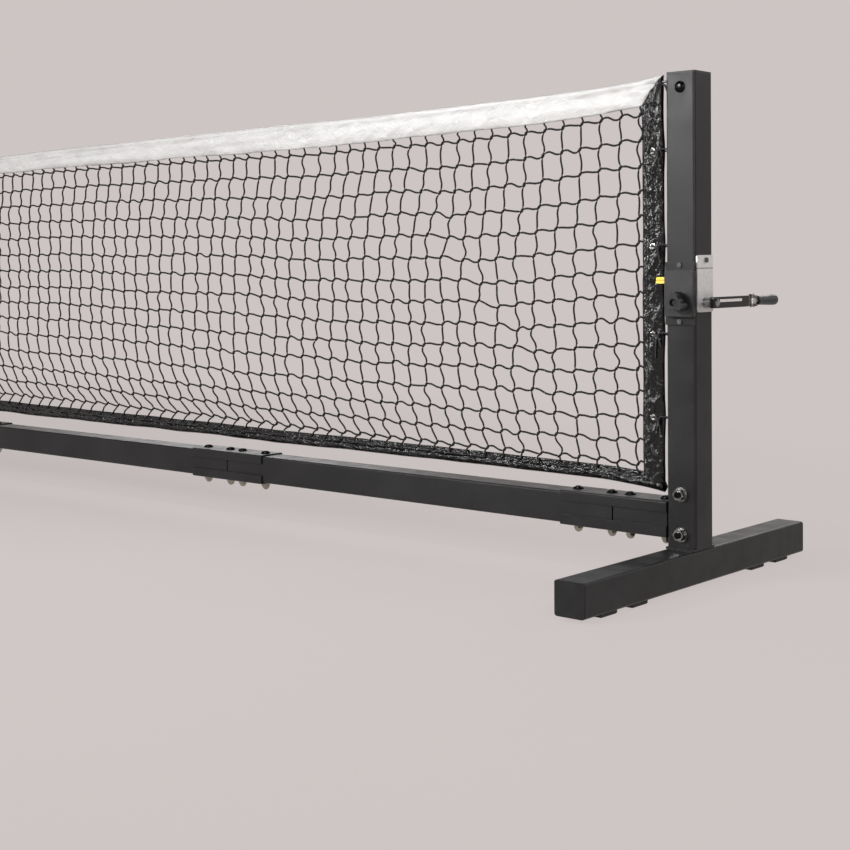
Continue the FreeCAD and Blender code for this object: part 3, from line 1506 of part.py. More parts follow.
for side_name in SIDES:
    make_post(side_name)
    make_foot(side_name)
node(joined("post_caps", [make_post_cap(each) for each in SIDES]), "post_caps")
end_caps = [make_foot_cap(each, end) for each in SIDES for end in ("front", "back")]
node(joined("foot_caps", end_caps), "foot_caps")
pad_places = ("-outer_pad", "-inner_pad", "inner_pad", "outer_pad")
pads = [foot_pad(each, out, number) for each in SIDES for number, out in enumerate(pad_places)]
node(joined("foot_pads", pads), "foot_pads")
make_post_bolts()
for section_number in range(1, SECTIONS + 1):
    make_beam(section_number)
make_splices()
make_legs()
make_top_hardware()
make_cable()
make_cloth_edges()
make_net()
make_ties()
make_centre_strap()
make_winch_case()
make_shaft()
make_ratchet()
make_knob()
make_crank()

doc.recompute()
for thing in doc.Objects:
    check(thing)
for name, thing in NODES.items():
    shape = thing.Shape
    if shape.isNull() or not shape.isValid() or not shape.Solids:
        raise RuntimeError("%s has no sound solid" % name)
for name, thing in NODES.items():
    thing.Shape.exportStep("parts/%s.step" % name)
print("%d nodes, %d solids" % (len(NODES), sum(len(thing.Shape.Solids) for thing in NODES.values())))
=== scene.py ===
"""Looks of a portable pickleball net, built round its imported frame.

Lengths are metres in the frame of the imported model: +X runs along the net to the post with the crank,
+Y to the back of the court and +Z up. The steel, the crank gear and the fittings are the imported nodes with
better materials. The cloth, the cords and the mesh are modelled here and stand for their plain solids.
"""

import json
import logging
import math
from dataclasses import dataclass
from enum import Enum
from typing import Optional, Sequence

import bpy
import numpy as np
from mathutils import Matrix, Vector

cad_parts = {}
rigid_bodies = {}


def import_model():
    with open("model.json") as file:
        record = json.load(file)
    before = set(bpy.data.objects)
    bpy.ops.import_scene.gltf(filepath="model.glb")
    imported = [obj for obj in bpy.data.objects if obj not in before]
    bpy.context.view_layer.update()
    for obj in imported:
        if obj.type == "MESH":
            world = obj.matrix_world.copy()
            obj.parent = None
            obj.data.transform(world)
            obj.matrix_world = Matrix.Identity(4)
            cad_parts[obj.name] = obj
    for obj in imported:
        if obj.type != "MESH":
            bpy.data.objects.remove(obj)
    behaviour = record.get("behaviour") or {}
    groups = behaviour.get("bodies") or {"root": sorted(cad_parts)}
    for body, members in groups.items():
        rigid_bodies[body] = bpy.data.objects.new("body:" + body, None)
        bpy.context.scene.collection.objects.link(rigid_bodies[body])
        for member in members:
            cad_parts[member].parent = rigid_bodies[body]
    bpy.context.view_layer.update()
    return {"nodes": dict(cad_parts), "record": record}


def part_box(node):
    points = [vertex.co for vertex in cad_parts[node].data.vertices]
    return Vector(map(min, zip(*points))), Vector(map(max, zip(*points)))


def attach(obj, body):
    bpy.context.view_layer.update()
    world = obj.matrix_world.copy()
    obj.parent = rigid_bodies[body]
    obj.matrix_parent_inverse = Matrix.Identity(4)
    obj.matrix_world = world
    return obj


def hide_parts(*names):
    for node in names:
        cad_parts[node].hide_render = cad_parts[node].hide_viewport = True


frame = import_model()
LOG = logging.getLogger("net")
ROOT = "frame_and_net"
HALF_SPAN = 3.353
TIE_HEIGHTS = (0.300, 0.453, 0.614, 0.788)
GROMMET_PLACE = 3.278
SEAM_TOP = 3.3010
SEAM_FOOT = 3.2560
HEM_END = 3.30
HEM_CORNER = 0.07
VINYL_BLACK = (0.003, 0.003, 0.0031)
VINYL_WORN = (0.006, 0.006, 0.006)
Socket = bpy.types.NodeSocket

# The mix node's colour sockets share their names with its number sockets, so they are picked by number.
MIX_FIRST = 6
MIX_SECOND = 7
MIX_RESULT = 2


class Along(Enum):
    """Which coordinates of a piece its material follows."""

    PLACE = "Object"
    CLOTH = "UV"


# Material work: one class that wires nodes, and one small class for each finish.
class Wiring:
    """The node tree of one material while it is made."""

    def __init__(self, name: str, follows: Along = Along.PLACE) -> None:
        """Starts a material with one principled shader.

        Args:
            name: the material's name.
            follows: the coordinates its patterns read.
        """
        self.material = bpy.data.materials.new(name)
        self.material.use_nodes = True
        self.tree = self.material.node_tree
        self.tree.nodes.clear()
        self.shader = self.node("ShaderNodeBsdfPrincipled")
        out = self.node("ShaderNodeOutputMaterial")
        self.join(self.shader.outputs["BSDF"], out.inputs["Surface"])
        self.place = self.node("ShaderNodeTexCoord").outputs[follows.value]

    def node(self, kind: str, **settings: object) -> bpy.types.Node:
        """Adds a node and sets its properties."""
        made = self.tree.nodes.new(kind)
        for name, value in settings.items():
            setattr(made, name, value)
        return made

    def join(self, start: Socket, end: Socket) -> None:
        """Links an output to an input."""
        self.tree.links.new(start, end)

    def feed(self, target: Socket, value: "Socket | float | Sequence[float]") -> None:
        """Links a socket to a target, or writes a plain value on it."""
        if isinstance(value, bpy.types.NodeSocket):
            self.join(value, target)
        else:
            target.default_value = value

    def stretched(self, scale: Sequence[float], turn: Sequence[float] = (0, 0, 0)) -> Socket:
        """Returns the coordinates scaled along each axis, and turned."""
        made = self.node("ShaderNodeMapping")
        self.join(self.place, made.inputs["Vector"])
        made.inputs["Scale"].default_value = scale
        made.inputs["Rotation"].default_value = turn
        return made.outputs["Vector"]

    def noise(self, scale: float, detail: float = 2, where: Optional[Socket] = None,
              distortion: float = 0) -> Socket:
        """Returns smooth noise from 0 to 1.

        Args:
            scale: bumps per metre.
            detail: octaves.
            where: coordinates, or none for the material's own.
            distortion: how far the noise is pushed about.

        Returns:
            The noise factor.
        """
        made = self.node("ShaderNodeTexNoise")
        self.join(where or self.place, made.inputs["Vector"])
        made.inputs["Scale"].default_value = scale
        made.inputs["Detail"].default_value = detail
        made.inputs["Distortion"].default_value = distortion
        return made.outputs[0]

    def ridges(self, scale: float, where: Socket) -> Socket:
        """Returns noise with sharp crests, from 0 to about 1."""
        middle = self.sum("SUBTRACT", self.noise(scale, 3, where, 0.6), 0.5)
        folded = self.sum("ABSOLUTE", middle)
        return self.span(folded, 0, 0.22, 1, 0)

    def sum(self, operation: str, first: "Socket | float", second: "Socket | float" = 0) -> Socket:
        """Returns one arithmetic step."""
        made = self.node("ShaderNodeMath", operation=operation)
        self.feed(made.inputs[0], first)
        self.feed(made.inputs[1], second)
        return made.outputs[0]

    def span(self, value: Socket, low: float, high: float, to_low: float, to_high: float) -> Socket:
        """Returns a value mapped from one range to another and held inside it."""
        made = self.node("ShaderNodeMapRange")
        self.join(value, made.inputs[0])
        for index, number in enumerate((low, high, to_low, to_high), start=1):
            made.inputs[index].default_value = number
        return made.outputs[0]

    def blend(self, share: Socket, first: "Socket | Sequence[float]",
              second: "Socket | Sequence[float]") -> Socket:
        """Returns a colour between two, by a share from 0 to 1."""
        made = self.node("ShaderNodeMix", data_type="RGBA")
        self.join(share, made.inputs["Factor"])
        for index, colour in ((MIX_FIRST, first), (MIX_SECOND, second)):
            if not isinstance(colour, bpy.types.NodeSocket):
                colour = (*colour, 1)
            self.feed(made.inputs[index], colour)
        return made.outputs[MIX_RESULT]

    def axis(self, index: int) -> Socket:
        """Returns one coordinate."""
        made = self.node("ShaderNodeSeparateXYZ")
        self.join(self.place, made.inputs[0])
        return made.outputs[index]

    def bump(self, height: Socket, depth: float, strength: float = 1,
             under: Optional[Socket] = None) -> Socket:
        """Returns a normal that is raised by a height of the given depth in metres."""
        made = self.node("ShaderNodeBump")
        made.inputs["Strength"].default_value = strength
        made.inputs["Distance"].default_value = depth
        self.join(height, made.inputs["Height"])
        if under:
            self.join(under, made.inputs["Normal"])
        return made.outputs[0]

    def soft_edges(self, radius: float) -> Socket:
        """Returns a normal that rounds sharp edges off."""
        made = self.node("ShaderNodeBevel")
        made.samples = 4
        made.inputs["Radius"].default_value = radius
        return made.outputs[0]

    def set(self, **values: "Socket | float | Sequence[float]") -> bpy.types.Material:
        """Writes the shader's inputs and returns the material.

        Args:
            **values: the shader's inputs, with an underscore for a space.

        Returns:
            The finished material.
        """
        for name, value in values.items():
            target = self.shader.inputs[name.replace("_", " ")]
            if isinstance(value, tuple) and len(value) == 3:
                value = (*value, 1)
            self.feed(target, value)
        return self.material


@dataclass(frozen=True)
class PowderCoat:
    """Baked black powder paint on steel, with a fine orange peel and rounded edges."""

    colour: tuple = (0.0068, 0.0068, 0.0070)
    worn: tuple = (0.0135, 0.0135, 0.014)
    roughness: tuple = (0.33, 0.44)
    grain: float = 900
    grain_depth: float = 0.00003
    edge: float = 0.0011
    refraction: float = 1.36

    def material(self, name: str) -> bpy.types.Material:
        """Returns the paint."""
        work = Wiring(name)
        cloudy = work.noise(7, 4)
        speckle = work.noise(420, 2)
        mottled = work.sum("ADD", work.sum("MULTIPLY", cloudy, 0.6), work.sum("MULTIPLY", speckle, 0.4))
        colour = work.blend(work.span(mottled, 0.42, 0.62, 0, 1), self.colour, self.worn)
        peel = work.sum("ADD", work.noise(self.grain, 2), work.sum("MULTIPLY", work.noise(160, 2), 0.7))
        normal = work.bump(peel, self.grain_depth, 0.8, work.soft_edges(self.edge))
        gloss = work.span(work.noise(26, 3), 0.35, 0.65, *self.roughness)
        return work.set(Base_Color=colour, Roughness=gloss, Normal=normal, IOR=self.refraction)


@dataclass(frozen=True)
class PlatedMetal:
    """Plated or bare metal with fine scratches one way."""

    colour: tuple = (0.62, 0.63, 0.64)
    stained: tuple = (0.38, 0.38, 0.38)
    roughness: tuple = (0.2, 0.38)
    stretch: tuple = (1, 1, 12)
    edge: float = 0.0004
    line_height: float = 0.0
    line_width: float = 0.0009

    def material(self, name: str) -> bpy.types.Material:
        """Returns the metal, with a thin dark line of painted shade across it where a fold height is given,
        for the shade in the plate's fold.
        """
        work = Wiring(name)
        lines = work.noise(700, 3, work.stretched(self.stretch))
        patches = work.noise(130, 4)
        colour = work.blend(work.span(patches, 0.45, 0.75, 0, 1), self.colour, self.stained)
        # Painted shade: a thin dark line across the plate at its fold, where the bend turns away from the
        # light.
        if self.line_height:
            gap = work.sum("ABSOLUTE", work.sum("SUBTRACT", work.axis(2), self.line_height))
            scored = work.span(gap, self.line_width * 0.4, self.line_width, 1, 0)
            colour = work.blend(scored, colour, (0.05, 0.05, 0.05))
        gloss = work.span(lines, 0.3, 0.7, *self.roughness)
        normal = work.bump(lines, 0.00002, 0.5, work.soft_edges(self.edge))
        return work.set(Base_Color=colour, Metallic=1.0, Roughness=gloss, Normal=normal)


@dataclass(frozen=True)
class Moulded:
    """Moulded plastic or rubber with a fine spark texture."""

    colour: tuple = (0.014, 0.014, 0.015)
    second: tuple = (0.024, 0.024, 0.025)
    roughness: tuple = (0.42, 0.56)
    grain: float = 1300
    grain_depth: float = 0.00005
    edge: float = 0.0008
    refraction: float = 1.42
    stripe: tuple = ()
    stripe_height: float = 0.0

    def material(self, name: str) -> bpy.types.Material:
        """Returns the plastic, with painted shade as a darker stripe along a moulded groove where one is
        given.
        """
        work = Wiring(name)
        clouds = work.noise(45, 3)
        grain = work.noise(self.grain, 2)
        normal = work.bump(grain, self.grain_depth, 0.7, work.soft_edges(self.edge))
        colour = work.blend(work.span(clouds, 0.35, 0.65, 0, 1), self.colour, self.second)
        # Painted shade: a darker orange stripe along the groove, at a given height.
        if self.stripe:
            gap = work.sum("ABSOLUTE", work.sum("SUBTRACT", work.axis(2), self.stripe_height))
            colour = work.blend(work.span(gap, 0.0010, 0.0022, 1, 0), colour, self.stripe)
        gloss = work.span(clouds, 0.3, 0.7, *self.roughness)
        return work.set(Base_Color=colour, Roughness=gloss, Normal=normal, IOR=self.refraction)


@dataclass(frozen=True)
class CoatedCloth:
    """Vinyl coated cloth: a faint woven base, soft creases and rows of stitches along the strip.

    The cloth's own map has its length as u and its width as v, both in metres.
    """

    colour: tuple = (0.52, 0.52, 0.517)
    dirt: tuple = (0.43, 0.43, 0.426)
    roughness: tuple = (0.34, 0.46)
    crease: float = 46
    crease_depth: float = 0.0015
    threads: float = 900
    stitch_rows: tuple = ()
    thread: tuple = (0.42, 0.42, 0.41)
    stitch_pitch: float = 0.0055
    refraction: float = 1.45
    crumple: float = 0.0
    smooth_fold: float = 0.0
    facet_scale: float = 62

    def stitches(self, work: Wiring) -> Optional[Socket]:
        """Returns where the thread shows, from 0 to 1, or none for a cloth with no rows."""
        if not self.stitch_rows:
            return None
        along = work.sum("FRACT", work.sum("DIVIDE", work.axis(0), self.stitch_pitch))
        dash = work.span(work.sum("ABSOLUTE", work.sum("SUBTRACT", along, 0.5)), 0.28, 0.36, 1, 0)
        total: "Socket | float" = 0.0
        for row in self.stitch_rows:
            near = work.sum("ABSOLUTE", work.sum("SUBTRACT", work.axis(1), row))
            total = work.sum("ADD", total, work.span(near, 0.0003, 0.0006, 1, 0))
        return work.sum("MULTIPLY", dash, total)

    def material(self, name: str) -> bpy.types.Material:
        """Returns the coated cloth."""
        work = Wiring(name, Along.CLOTH)
        weave = work.node("ShaderNodeTexVoronoi", feature="F1")
        work.join(work.place, weave.inputs["Vector"])
        weave.inputs["Scale"].default_value = self.threads
        weave.inputs["Randomness"].default_value = 0.25
        folds = work.ridges(self.crease, work.stretched((1, 1.6, 1), (0, 0, 0.4)))
        fine = work.ridges(self.crease * 4, work.stretched((1.2, 1, 1), (0, 0, -0.5)))
        normal = work.bump(weave.outputs["Distance"], 0.00004, 0.35)
        normal = work.bump(folds, self.crease_depth, 0.6, normal)
        normal = work.bump(fine, self.crease_depth * 0.25, 0.5, normal)
        if self.crumple:
            normal = work.bump(self.facets(work), self.crumple, 1.0, normal)
        dirt = work.span(work.noise(22, 4, work.stretched((0.6, 1.6, 1))), 0.45, 0.72, 0, 1)
        colour = work.blend(dirt, self.colour, self.dirt)
        thread = self.stitches(work)
        if thread:
            normal = work.bump(thread, 0.0004, 0.8, normal)
            colour = work.blend(thread, colour, self.thread)
        gloss = work.span(work.noise(90, 3), 0.3, 0.7, *self.roughness)
        return work.set(Base_Color=colour, Roughness=gloss, Normal=normal, IOR=self.refraction)

    def facets(self, work: Wiring) -> Socket:
        """Returns small sharp dents like those of crumpled film, weaker near the folded edge."""
        cells = work.node("ShaderNodeTexVoronoi", feature="F1")
        work.join(work.stretched((1, 1.7, 1), (0, 0, 0.5)), cells.inputs["Vector"])
        cells.inputs["Scale"].default_value = self.facet_scale
        broad = work.noise(self.facet_scale * 0.45, 2, work.stretched((1, 1.5, 1), (0, 0, -0.3)), 1.2)
        height = work.sum("ADD", cells.outputs["Distance"], work.sum("MULTIPLY", broad, 1.6))
        if not self.smooth_fold:
            return height
        inward = work.sum("ABSOLUTE", work.axis(1))
        share = work.span(inward, self.smooth_fold * 0.7, self.smooth_fold * 1.25, 0.06, 1)
        return work.sum("MULTIPLY", height, share)


@dataclass(frozen=True)
class WovenBand:
    """Woven strap with a chevron rib, painted lighter on the ribs and darker between them. Its map has the
    length as u and the width as v, in metres.
    """

    colour: tuple = (0.018, 0.018, 0.019)
    second: tuple = (0.034, 0.034, 0.036)
    rib: float = 0.0017
    depth: float = 0.00035

    def material(self, name: str) -> bpy.types.Material:
        """Returns the woven strap."""
        work = Wiring(name, Along.CLOTH)
        across = work.sum("DIVIDE", work.axis(1), self.rib * 2.5)
        zigzag = work.sum("PINGPONG", across, 1)
        along = work.sum("ADD", work.sum("DIVIDE", work.axis(0), self.rib), zigzag)
        rib = work.sum("PINGPONG", along, 0.5)
        cross = work.sum("PINGPONG", work.sum("DIVIDE", work.axis(1), self.rib * 0.7), 0.5)
        height = work.sum("ADD", rib, work.sum("MULTIPLY", cross, 0.5))
        fuzz = work.noise(2400, 2)
        normal = work.bump(work.sum("ADD", height, work.sum("MULTIPLY", fuzz, 0.3)), self.depth, 0.9)
        # Painted highlight and shade: the raised ribs lighter, the hollows between them darker.
        colour = work.blend(work.span(height, 0.1, 0.6, 0, 1), self.colour, self.second)
        return work.set(Base_Color=colour, Roughness=0.78, Normal=normal, Sheen_Weight=0.25,
                        Sheen_Roughness=0.4)


@dataclass(frozen=True)
class TwistedCord:
    """Twisted strands, painted darker in the grooves between them and lighter on their crests. The map has
    the length in metres as u and one turn round the cord as v.
    """

    colour: tuple = (0.005, 0.005, 0.0055)
    second: tuple = (0.013, 0.013, 0.014)
    pitch: float = 0.009
    strands: int = 3
    depth: float = 0.0005
    roughness: float = 0.70
    metallic: float = 0.0
    coat: float = 0.0
    refraction: float = 1.45

    def material(self, name: str) -> bpy.types.Material:
        """Returns the twisted cord."""
        work = Wiring(name, Along.CLOTH)
        turn = work.sum("ADD", work.sum("DIVIDE", work.axis(0), self.pitch), work.axis(1))
        strand = work.sum("PINGPONG", work.sum("MULTIPLY", turn, self.strands), 0.5)
        round_strand = work.sum("SINE", work.sum("MULTIPLY", strand, math.pi))
        fibre = work.noise(900, 2, work.stretched((1, 0.02, 1)))
        normal = work.bump(round_strand, self.depth, 0.8)
        normal = work.bump(fibre, self.depth * 0.3, 0.5, normal)
        # Painted shade and highlight: darker in the grooves between the strands, lighter on their crests.
        colour = work.blend(round_strand, self.colour, self.second)
        return work.set(Base_Color=colour, Roughness=self.roughness, Metallic=self.metallic, Normal=normal,
                        Coat_Weight=self.coat, Coat_Roughness=0.15, IOR=self.refraction)


# Shapes made from rows of points.
class Ripple:
    """Seeded smooth noise over a flat sheet, from about -1 to 1."""

    SIZE = 256

    def __init__(self, seed: int) -> None:
        """Fills the noise's table from a seed."""
        self.table = np.random.default_rng(seed).uniform(-1, 1, (self.SIZE, self.SIZE))

    def at(self, u: np.ndarray, v: np.ndarray) -> np.ndarray:
        """Returns the noise at places counted in bumps."""
        left, low = np.floor(u), np.floor(v)
        across, up = u - left, v - low
        across = across * across * (3 - 2 * across)
        up = up * up * (3 - 2 * up)
        i, j = left.astype(int) % self.SIZE, low.astype(int) % self.SIZE
        right, high = (i + 1) % self.SIZE, (j + 1) % self.SIZE
        below = self.table[i, j] * (1 - across) + self.table[right, j] * across
        above = self.table[i, high] * (1 - across) + self.table[right, high] * across
        return below * (1 - up) + above * up

    def layered(self, u: np.ndarray, v: np.ndarray, octaves: int = 3) -> np.ndarray:
        """Returns several turned octaves of the noise, each half as strong as the last."""
        total = np.zeros(np.broadcast(u, v).shape)
        strength = 1.0
        for number in range(octaves):
            turn = 0.7 + 1.3 * number
            a = u * math.cos(turn) - v * math.sin(turn) + 17.3 * number
            b = u * math.sin(turn) + v * math.cos(turn) + 9.1 * number
            total += strength * self.at(a * 2 ** number, b * 2 ** number)
            strength *= 0.5
        return total

    def creases(self, u: np.ndarray, v: np.ndarray, octaves: int = 3) -> np.ndarray:
        """Returns noise with sharp crests, 1 on a crest and 0 away from it."""
        return np.clip(1 - np.abs(self.layered(u, v, octaves)) * 2.2, 0, 1)


def select_none() -> None:
    """Deselects every object."""
    for other in bpy.context.view_layer.objects:
        other.select_set(False)


def settle(piece: bpy.types.Object, node: str = "", body: str = ROOT) -> None:
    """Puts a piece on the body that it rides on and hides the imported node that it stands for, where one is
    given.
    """
    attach(piece, body)
    if node:
        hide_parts(node)


def apply_modifier(piece: bpy.types.Object, kind: str, **settings: object) -> None:
    """Adds a modifier, sets it and applies it."""
    select_none()
    piece.select_set(True)
    bpy.context.view_layer.objects.active = piece
    made = piece.modifiers.new(kind.lower(), kind)
    for name, value in settings.items():
        setattr(made, name, value)
    bpy.ops.object.modifier_apply(modifier=made.name)


def mesh_piece(name: str, points: np.ndarray, faces: np.ndarray, flat: np.ndarray,
               material: bpy.types.Material) -> bpy.types.Object:
    """Makes a smooth shaded piece from points and four-sided faces.

    Args:
        name: the piece's name.
        points: its corners, n by 3.
        faces: the corner numbers of each face, m by 4.
        flat: the map's place of each face corner, m by 4 by 2.
        material: its finish.

    Returns:
        The new object.
    """
    mesh = bpy.data.meshes.new(name)
    mesh.vertices.add(len(points))
    mesh.vertices.foreach_set("co", np.ascontiguousarray(points, np.float32).ravel())
    count = len(faces)
    mesh.loops.add(count * 4)
    mesh.loops.foreach_set("vertex_index", np.ascontiguousarray(faces, np.int32).ravel())
    mesh.polygons.add(count)
    mesh.polygons.foreach_set("loop_start", np.arange(count, dtype=np.int32) * 4)
    mesh.polygons.foreach_set("loop_total", np.full(count, 4, np.int32))
    layer = mesh.uv_layers.new(name="UVMap")
    layer.data.foreach_set("uv", np.ascontiguousarray(flat, np.float32).ravel())
    mesh.update(calc_edges=True)
    mesh.validate()
    mesh.polygons.foreach_set("use_smooth", np.ones(len(mesh.polygons), bool))
    mesh.materials.append(material)
    piece = bpy.data.objects.new(name, mesh)
    bpy.context.scene.collection.objects.link(piece)
    return piece


def grid_faces(rows: int, columns: int, closed: bool = False) -> np.ndarray:
    """Returns the four-sided faces of a grid of points, row after row."""
    row = np.arange(rows - 1)[:, None]
    column = np.arange(columns if closed else columns - 1)[None, :]
    beside = (column + 1) % columns
    corners = [row * columns + column, (row + 1) * columns + column,
               (row + 1) * columns + beside, row * columns + beside]
    return np.stack(np.broadcast_arrays(*corners), -1).reshape(-1, 4)


def strip(name: str, points: np.ndarray, flat: np.ndarray, material: bpy.types.Material,
          keep: Optional[np.ndarray] = None) -> bpy.types.Object:
    """Makes an open sheet from a grid of points.

    Args:
        name: the piece's name.
        points: rows by columns by 3.
        flat: the place of each point on the flat cloth, rows by columns by 2.
        material: its finish.
        keep: which faces stay, or none for all.

    Returns:
        The new object.
    """
    rows, columns = points.shape[:2]
    faces = grid_faces(rows, columns)
    if keep is not None:
        faces = faces[keep.reshape(-1)]
    return mesh_piece(name, points.reshape(-1, 3), faces, flat.reshape(-1, 2)[faces], material)


def distances(line: np.ndarray) -> np.ndarray:
    """Returns how far along a line each of its points is."""
    return np.concatenate([[0], np.cumsum(np.linalg.norm(np.diff(line, axis=0), axis=1))])


def frames_along(line: np.ndarray) -> tuple:
    """Returns two directions across a line at each of its points, turning as little as they can."""
    ahead = np.gradient(line, axis=0)
    ahead /= np.linalg.norm(ahead, axis=1, keepdims=True)
    first = np.cross(ahead[0], (0, 1, 0))
    if np.linalg.norm(first) < 0.1:
        first = np.cross(ahead[0], (0, 0, 1))
    side = np.empty_like(line)
    for number, step in enumerate(ahead):
        first = first - step * first.dot(step)
        first /= np.linalg.norm(first)
        side[number] = first
    return side, np.cross(ahead, side)


def tube_grid(line: np.ndarray, radius: float, sides: int, start: int) -> tuple:
    """Returns the points, faces and map of a round tube along a line, with pinched ends.

    Args:
        line: the centres of its rings.
        radius: its radius.
        sides: points round it.
        start: the number of its first point.

    Returns:
        Points, faces and the map's place of each face corner.
    """
    side, up = frames_along(line)
    angle = np.arange(sides) * 2 * math.pi / sides
    rings = line[:, None] + radius * (
        side[:, None] * np.cos(angle)[None, :, None] + up[:, None] * np.sin(angle)[None, :, None])
    rings[0] = line[0] + (rings[0] - line[0]) * 0.3
    rings[-1] = line[-1] + (rings[-1] - line[-1]) * 0.3
    gone = distances(line)
    faces = grid_faces(len(line), sides, True)
    row = faces // sides
    around = (faces % sides) / sides
    around[:, 2:] = np.where(around[:, 2:] == 0, 1.0, around[:, 2:])
    flat = np.stack([gone[row], around], -1)
    return rings.reshape(-1, 3), faces[:, ::-1] + start, flat[:, ::-1]


def curve_line(name: str, route: Sequence[Sequence[float]], steps: int) -> np.ndarray:
    """Returns points along the smooth line of a route.

    Args:
        name: the curve's name.
        route: the control points.
        steps: divisions of each run.

    Returns:
        The line's points, n by 3.
    """
    curve = bpy.data.curves.new(name, "CURVE")
    curve.dimensions = "3D"
    curve.resolution_u = steps
    spline = curve.splines.new("NURBS")
    spline.points.add(len(route) - 1)
    for point, place in zip(spline.points, route):
        point.co = (*place, 1)
    spline.order_u = 3
    spline.use_endpoint_u = True
    holder = bpy.data.objects.new(name, curve)
    bpy.context.scene.collection.objects.link(holder)
    bpy.context.view_layer.update()
    mesh = bpy.data.meshes.new_from_object(holder)
    line = np.array([vertex.co for vertex in mesh.vertices])
    bpy.data.objects.remove(holder)
    bpy.data.meshes.remove(mesh)
    return line


def evenly(line: np.ndarray, step: float) -> np.ndarray:
    """Returns points a step apart along a line."""
    gone = distances(line)
    count = max(3, int(round(gone[-1] / step)) + 1)
    at = np.linspace(0, gone[-1], count)
    return np.stack([np.interp(at, gone, line[:, k]) for k in range(3)], 1)


def by_place(x: np.ndarray, table: Sequence[Sequence[float]]) -> np.ndarray:
    """Returns the value at each distance from the net's middle, read between the rows of a table."""
    places, values = zip(*table)
    return np.interp(np.abs(x), places, values)


def tape_top(x: np.ndarray) -> np.ndarray:
    """Returns the height of the tape's upper edge, which sags from each post and rises at its corners."""
    return by_place(x, (
        (0, 0.8640), (1.2, 0.8785), (1.4, 0.8825), (1.7, 0.8872), (2.0, 0.8903), (2.3, 0.8942), (2.6, 0.8975),
        (2.8, 0.9010), (3.0, 0.9064), (3.1, 0.9100), (3.2, 0.9142), (3.25, 0.9172), (3.302, 0.9240)))


def tape_height(x: np.ndarray) -> np.ndarray:
    """Returns how tall the tape hangs: cut even, it is drawn together in places and smooth at the ends."""
    return by_place(x, (
        (0, 0.049), (1.15, 0.0445), (1.6, 0.0495), (2.0, 0.0515), (2.3, 0.0550), (2.6, 0.0525), (3.0, 0.0530),
        (3.1, 0.0500), (3.2, 0.0475), (3.3, 0.0475)))


def hem_edge(x: np.ndarray, level: float, rise: float, drop: float) -> np.ndarray:
    """Returns an edge of the hem, which lifts towards the middle and drops at the corners.

    Args:
        x: places along the net.
        level: the edge's height beside the posts, before the drop.
        rise: how much higher it is in the middle.
        drop: how far the corners pull it down.

    Returns:
        The edge's height at each place.
    """
    corner = np.exp(-(HEM_END - np.abs(x)) / HEM_CORNER)
    return level + rise * (1 - (x / HALF_SPAN) ** 2) - drop * corner


def hem_low(x: np.ndarray) -> np.ndarray:
    """Returns the height of the hem's lower edge."""
    return hem_edge(x, 0.1755, 0.0105, 0.0135)


def hem_top(x: np.ndarray) -> np.ndarray:
    """Returns the height of the hem's upper edge."""
    return hem_edge(x, 0.2010, 0.0150, 0.0080)


